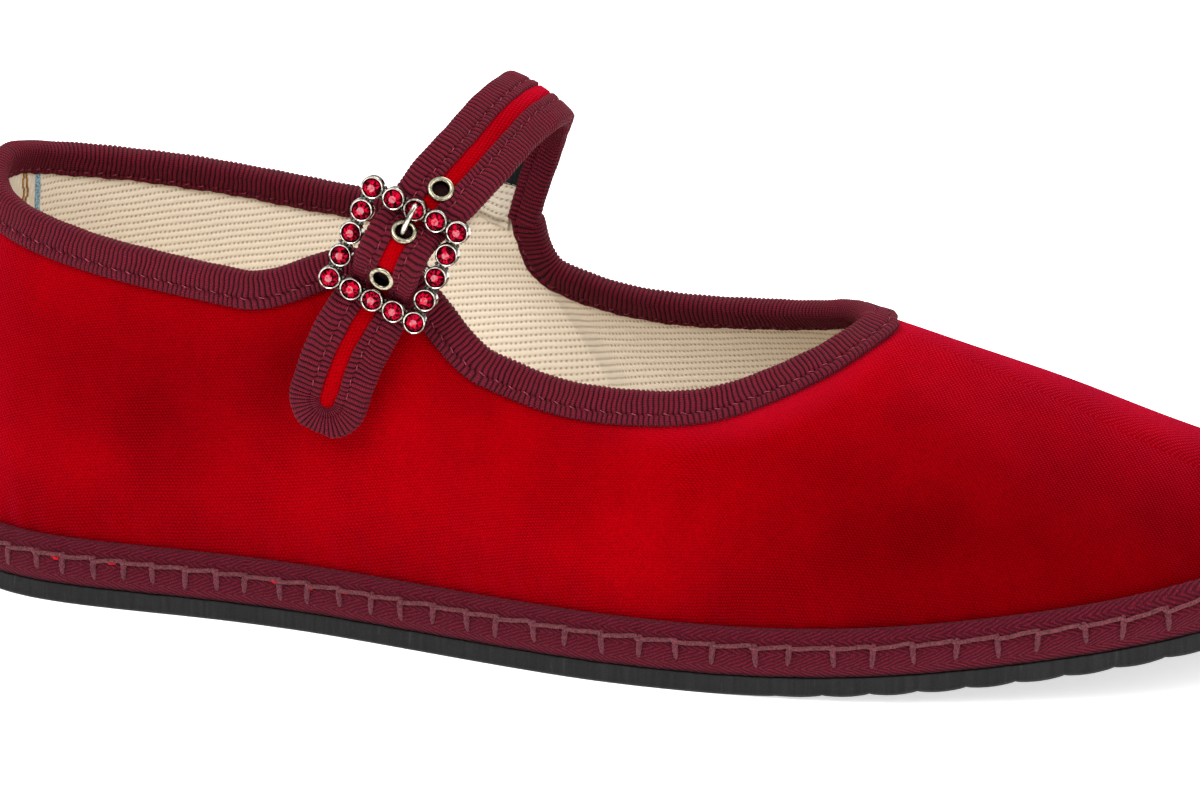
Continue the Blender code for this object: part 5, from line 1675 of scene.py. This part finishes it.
def make_tape(looks):
    tape = Tape(0.45)
    parts = np.array(TAPE_PARTS)
    face, down, _, normal = tape.ways(parts)
    phase, _ = stitch_phase(tape.run, tape.length)
    arch = np.abs(np.sin(np.pi * phase))[:, None]
    top = ease(parts, 2.2, 3.4)[None] * (1 - ease(parts, 3.8, 4.0))[None]
    swell = 0.28 * arch ** 0.7 * top - 0.12 * (1 - arch) * ease(parts, 1.0, 2.0)[None]
    swell = swell + 0.05 * ripple(tape.run[:, None] * 2.1 + parts * 1.3, tape.run[:, None] * 0.7)
    face = face + swell[..., None] * normal
    ragged = 0.28 * ripple(tape.run * 2.7, tape.run * 1.3, tape.run * 5.1)
    face[:, -3:] += (ragged[:, None] * np.array([0.5, 1.0, 1.0]))[..., None] * down[:, -3:]
    grid = np.concatenate([face, tape.hidden], axis=1)
    widths = run_along(tape.face(parts)[0])
    across = np.concatenate([widths, widths[-1] + np.array([1.0, 2.0, 3.0]), [0.0]])
    run = np.concatenate([tape.run, [tape.length]])
    piece = skin("edge_tape", grid, tape_cloth("burgundy herringbone tape", looks), ring=True, along=run,
                 across=across[None])
    belongs(piece, "burgundy_tape", "sole_tape")
    make_blanket_stitch(looks)


def make_blanket_stitch(looks):
    tape = Tape(0.15)
    phase, bars = stitch_phase(tape.run, tape.length)
    parts = np.linspace(0.2, 3.9, 38)
    face, _, around, normal = tape.ways(parts)
    around = around[:, 10]
    number = np.arange(len(tape.run))

    def at(rows, part):
        """Points of the face at parts of its width, and the directions out of it."""
        column = np.interp(part, parts, np.arange(len(parts)))
        low = np.clip(column.astype(int), 0, len(parts) - 2)
        share = (column - low)[:, None]
        return [(1 - share) * field[rows, low] + share * field[rows, low + 1] for field in (face, normal)]

    whole = np.floor(phase) % bars
    part = phase % 1.0
    fall = 1 - ease(part, 0.9, 1.0)
    arc = (0.2 + 0.09 * np.sin(whole * 1.9)) * (part * fall - 0.45) + 0.015 * ripple(tape.run * 1.7)
    centre, out = at(number, CORD_PART + arc)
    centre = centre + out * CORD_OFF
    ahead = unit(np.roll(centre, -1, 0) - np.roll(centre, 1, 0))
    side = unit(out - ahead * (out * ahead).sum(-1, keepdims=True))
    other = np.cross(ahead, side)
    turns = 2 * math.pi * np.arange(12) / 12
    strands = np.abs(np.cos(1.5 * (turns[None] - 2 * math.pi * (tape.run / CORD_LAY)[:, None])))
    radius = CORD_RADIUS * (0.88 + 0.22 * strands)
    grid = centre[:, None] + radius[..., None] * (np.cos(turns)[None, :, None] * side[:, None]
                                                  + np.sin(turns)[None, :, None] * other[:, None])
    cord = skin("blanket_cord", grid, thread("rose brown cord", looks.cord), ring=True, sharp=0)
    belongs(cord, "burgundy_tape")

    threads = []
    steps = np.linspace(0, 1, 15)
    for bar in range(1, bars + 1):
        where = int(round(np.interp(bar + 0.05 * math.sin(bar * 2.3), phase, number))) % len(number)
        length = BAR_LENGTH + 0.12 * math.sin(bar * 1.9)
        spots, outs = at(np.full(len(steps), where), CORD_PART + 0.1 - length * steps)
        lean = 0.3 * math.sin(bar * 3.1)
        line = spots + outs * (0.26 - 0.2 * steps[:, None] ** 2) + around[where] * lean * steps[:, None]
        radius = np.interp(steps, *zip(*BAR_RADII)) * (1 + 0.1 * np.cos(steps * 22))
        threads.append(tube(line, radius, 10, outs, flat=1.15))
    belongs(many("blanket_bars", threads, thread("plum bar thread", looks.bar)), "burgundy_tape")
    make_tufts(phase, at, around)


def make_tufts(phase, at, around):
    """Wisps of velvet pile caught under the blanket stitch."""
    parts = []
    share = np.linspace(-1, 1, 5)
    for number, (bar, climb) in enumerate(TUFTS):
        random = np.random.default_rng(40 + number)
        where = int(round(np.interp(bar, phase, np.arange(len(phase))))) % len(phase)
        for _ in range(4):
            spots, outs = at(np.full(len(share), where), CORD_PART - 0.22 + climb
                             + random.uniform(-0.06, 0.06) + random.uniform(-0.05, 0.05) * share)
            line = spots + outs * 0.3 + around[where] * (random.uniform(-0.3, 0.3) + 0.35 * share[:, None])
            parts.append(tube(line, 0.12, 6, outs))
    belongs(many("velvet_tufts", parts, thread("red velvet wisps", TUFT_COLOUR)), "red_velvet")


# ---------------------------------------------------------------- stage

# Heights in the sky and the grey there
SKY = ((0.0, 0.25), (0.08, 0.25), (0.3, 0.5), (0.6, 0.85), (0.9, 1.0), (1.0, 1.0))
FLOOR_CORNERS = ((-1.6, -1.4), (2.0, -1.4), (2.0, 2.4), (-1.6, 2.4))
AIM = (0.0835, 0.0, 0.034)
# Name, place, size, and the field of ShoeStage that gives its power
LAMPS = (("key light", (-0.25, -0.75, 0.95), 0.7, "key"),
         ("fill light", (0.95, -0.55, 0.6), 0.8, "fill"),
         ("back light", (0.3, 0.9, 0.9), 0.8, "rim"))


def make_floor(stage, scene):
    mesh = bpy.data.meshes.new("floor")
    mesh.from_pydata([(x, y, CAD_BOX[0][2]) for x, y in FLOOR_CORNERS], [], [(0, 1, 2, 3)])
    floor = bpy.data.objects.new("floor", mesh)
    scene.collection.objects.link(floor)
    paint = Finish("pale floor paint", Roughness=0.8, Specular_IOR_Level=0.1, Emission_Strength=stage.glow,
                   Emission_Color=(1.0, 1.0, 1.0, 1.0))
    mottle = paint.noise(paint.spots(), 60.0, 3.0)
    mesh.materials.append(paint.dress(paint.blend(mottle, stage.floor, shade(stage.floor, 0.995))))


def make_sky(stage, scene):
    """Soft light from all round, brighter from above."""
    world = bpy.data.worlds.new("studio")
    scene.world = world
    world.use_nodes = True
    nodes, links = world.node_tree.nodes, world.node_tree.links
    background = nodes["Background"]
    background.inputs["Strength"].default_value = stage.sky
    ways, apart, ramp = (nodes.new("ShaderNode" + kind) for kind in ("TexCoord", "SeparateXYZ", "ValToRGB"))
    links.new(ways.outputs["Generated"], apart.inputs[0])
    links.new(apart.outputs[2], ramp.inputs[0])
    links.new(ramp.outputs[0], background.inputs["Color"])
    stops = ramp.color_ramp.elements
    for height, grey in SKY:
        there = [stop for stop in stops if stop.position == height] or [stops.new(height)]
        there[0].color = (grey, grey, grey, 1.0)


def look_from(place):
    """The turn that points a lamp or the camera at the shoe, upright."""
    return Vector(np.array(AIM) - place).to_track_quat("-Z", "Y").to_euler()


def make_stage(stage):
    """A pale floor, soft lights and the camera."""
    scene = bpy.context.scene
    make_floor(stage, scene)
    make_sky(stage, scene)
    for name, place, size, field in LAMPS:
        light = bpy.data.lights.new(name, "AREA")
        light.shape, light.size, light.energy = "SQUARE", size, getattr(stage, field)
        lamp = bpy.data.objects.new(name, light)
        lamp.location = place
        lamp.rotation_euler = look_from(place)
        scene.collection.objects.link(lamp)

    camera = bpy.data.cameras.new("camera")
    camera.sensor_width = 36.0
    camera.lens = stage.lens
    camera.clip_start, camera.clip_end = 0.05, 20.0
    azimuth, elevation = math.radians(stage.azimuth), math.radians(stage.elevation)
    way = np.array([math.sin(azimuth) * math.cos(elevation), -math.cos(azimuth) * math.cos(elevation),
                    math.sin(elevation)])
    viewer = bpy.data.objects.new("camera", camera)
    viewer.location = AIM + way * stage.distance
    viewer.rotation_euler = look_from(AIM + way * stage.distance)
    scene.collection.objects.link(viewer)
    scene.camera = viewer
    scene.view_settings.view_transform = "Standard"


# ---------------------------------------------------------------- what a user may change

def colour_field(name, description, value):
    return bpy.props.FloatVectorProperty(name=name, description=description, default=value, size=3,
                                         min=0.0, max=1.0, subtype="COLOR_GAMMA")


def number_field(name, description, value, **limits):
    return bpy.props.FloatProperty(name=name, description=description, default=value, **limits)


class ShoeLooks(bpy.types.PropertyGroup):
    velvet: colour_field("Velvet", "Colour of the upper's velvet", (0.545, 0.0, 0.018))
    # painted highlight: the colour laid on the velvet at its throat and toe crest
    velvet_painted_highlight: colour_field("Velvet highlights", "Colour of the velvet's raised pile", (0.86, 0.08, 0.2))
    ribbon: colour_field("Ribbon", "Colour of the ribbon that binds the collar and strap",
                         (0.345, 0.03, 0.105))
    ribbon_light: colour_field("Ribbon highlights", "Lighter threads of the ribbon", (0.475, 0.09, 0.17))
    stitch: colour_field("Stitches", "Colour of the collar's stitching", (0.56, 0.22, 0.27))
    tape: colour_field("Tape", "Colour of the tape round the sole", (0.33, 0.02, 0.095))
    tape_light: colour_field("Tape highlights", "Lighter yarns of the tape", (0.475, 0.09, 0.175))
    cord: colour_field("Cord", "Colour of the blanket stitch's cord", (0.375, 0.19, 0.21))
    bar: colour_field("Bars", "Colour of the blanket stitch's bars", (0.36, 0.16, 0.195))
    lining: colour_field("Lining", "Colour of the cotton lining", (0.99, 0.94, 0.86))
    lining_dot: colour_field("Lining dots", "Colour of the small dots in the lining", (0.68, 0.53, 0.39))
    selvedge: colour_field("Selvedge", "Colour of the lining's woven edge", (0.56, 0.7, 0.77))
    seam: colour_field("Seam", "Colour of the lining's seam thread", (0.66, 0.49, 0.27))
    elastic: colour_field("Elastic", "Colour of the elastic behind the strap's root", (0.13, 0.15, 0.15))
    # painted shade: the colour of the dark disc that stands for the shade in each eyelet
    painted_hollow_shade: colour_field("Hollows", "Colour of the cloth seen through the eyelets", (0.13, 0.015, 0.03))
    rubber: colour_field("Rubber", "Colour of the tyre rubber", (0.096, 0.093, 0.096))
    silver: colour_field("Silver", "Colour of the buckle", (0.83, 0.81, 0.76))
    nickel: colour_field("Nickel", "Colour of the eyelets", (0.7, 0.67, 0.57))
    glass: colour_field("Glass", "Colour of the stones", (0.74, 0.0, 0.15))
    # painted reflection of the room on the stones' flat tops
    glass_painted_reflection: colour_field("Glass sparks", "Colour of the stones' flat tops", (0.64, 0.45, 0.48))
    rib_pitch: number_field("Rib pitch", "Distance between the strap ribbon's ribs, in mm", 0.84,
                            min=0.6, max=2.0)
    collar_pitch: number_field("Collar rib pitch", "Distance between the collar ribbon's ribs, in mm", 0.82,
                               min=0.6, max=2.0)
    rib_height: number_field("Rib height", "Height of the ribbon's ribs, in mm", 0.3, min=0.0, max=0.5)


class ShoeStage(bpy.types.PropertyGroup):
    floor: colour_field("Floor", "Colour of the floor", (0.97, 0.97, 0.97))
    glow: number_field("Floor glow", "Light of the floor itself", 0.62, min=0.0)
    sky: number_field("Sky", "Strength of the light from all round", 1.15, min=0.0)
    key: number_field("Key light", "Power of the main light", 9.0, min=0.0, unit="POWER")
    fill: number_field("Fill light", "Power of the light from the toe's side", 5.0, min=0.0, unit="POWER")
    rim: number_field("Back light", "Power of the light from behind", 7.0, min=0.0, unit="POWER")
    azimuth: number_field("Azimuth", "Camera's turn to the toe, in degrees", 17.0)
    elevation: number_field("Elevation", "Camera's height, in degrees", 20.0)
    distance: number_field("Distance", "Camera's distance", 1.2, unit="LENGTH")
    lens: number_field("Lens", "Camera's focal length, in mm", 219.6)


class ShoeOperator:
    """What the shoe's operators share."""
    bl_options = {"REGISTER", "UNDO"}

    def execute(self, context):
        type(self).make(context.scene.shoe_looks)
        return {"FINISHED"}


class SHOE_OT_upper(ShoeOperator, bpy.types.Operator):
    """Make the velvet upper and its lining"""
    bl_idname = "shoe.upper"
    bl_label = "Upper"
    make = staticmethod(make_upper)


class SHOE_OT_collar(ShoeOperator, bpy.types.Operator):
    """Bind the collar with ribbed ribbon"""
    bl_idname = "shoe.collar"
    bl_label = "Collar Ribbon"
    make = staticmethod(make_collar)


class SHOE_OT_strap(ShoeOperator, bpy.types.Operator):
    """Make the strap and its ribbon"""
    bl_idname = "shoe.strap"
    bl_label = "Strap"
    make = staticmethod(make_strap)


class SHOE_OT_eyelets(ShoeOperator, bpy.types.Operator):
    """Set the metal eyelets"""
    bl_idname = "shoe.eyelets"
    bl_label = "Eyelets"
    make = staticmethod(make_eyelets)


class SHOE_OT_buckle(ShoeOperator, bpy.types.Operator):
    """Make the buckle with its cut stones"""
    bl_idname = "shoe.buckle"
    bl_label = "Buckle"
    make = staticmethod(make_buckle)


class SHOE_OT_sole(ShoeOperator, bpy.types.Operator):
    """Make the rubber sole and the foot bed"""
    bl_idname = "shoe.sole"
    bl_label = "Sole"
    make = staticmethod(make_sole)


class SHOE_OT_tape(ShoeOperator, bpy.types.Operator):
    """Wrap the sole's edge with tape and sew it with blanket stitch"""
    bl_idname = "shoe.tape"
    bl_label = "Edge Tape"
    make = staticmethod(make_tape)


class SHOE_OT_stage(bpy.types.Operator):
    """Set up the floor, the lights and the camera"""
    bl_idname = "shoe.stage"
    bl_label = "Stage"
    bl_options = {"REGISTER", "UNDO"}

    def execute(self, context):
        make_stage(context.scene.shoe_stage)
        return {"FINISHED"}


OPERATORS = (SHOE_OT_sole, SHOE_OT_upper, SHOE_OT_tape, SHOE_OT_collar, SHOE_OT_strap, SHOE_OT_eyelets,
             SHOE_OT_buckle, SHOE_OT_stage)


class SHOE_PT_panel(bpy.types.Panel):
    """Lists the shoe's pieces"""
    bl_idname = "SHOE_PT_panel"
    bl_label = "Velvet Mary Jane"
    bl_space_type = "VIEW_3D"
    bl_region_type = "UI"
    bl_category = "Shoe"

    def draw(self, context):
        for operator in OPERATORS:
            self.layout.operator(operator.bl_idname)
        for group in (context.scene.shoe_looks, context.scene.shoe_stage):
            for name in type(group).__annotations__:
                self.layout.prop(group, name)


CLASSES = (ShoeLooks, ShoeStage, *OPERATORS, SHOE_PT_panel)


def register():
    for entry in CLASSES:
        bpy.utils.register_class(entry)
    bpy.types.Scene.shoe_looks = bpy.props.PointerProperty(type=ShoeLooks)
    bpy.types.Scene.shoe_stage = bpy.props.PointerProperty(type=ShoeStage)


def unregister():
    del bpy.types.Scene.shoe_looks
    del bpy.types.Scene.shoe_stage
    for entry in reversed(CLASSES):
        bpy.utils.unregister_class(entry)


def main():
    register()
    for operator in OPERATORS:
        group, name = operator.bl_idname.split(".")
        getattr(getattr(bpy.ops, group), name)()


if __name__ == "__main__":
    main()
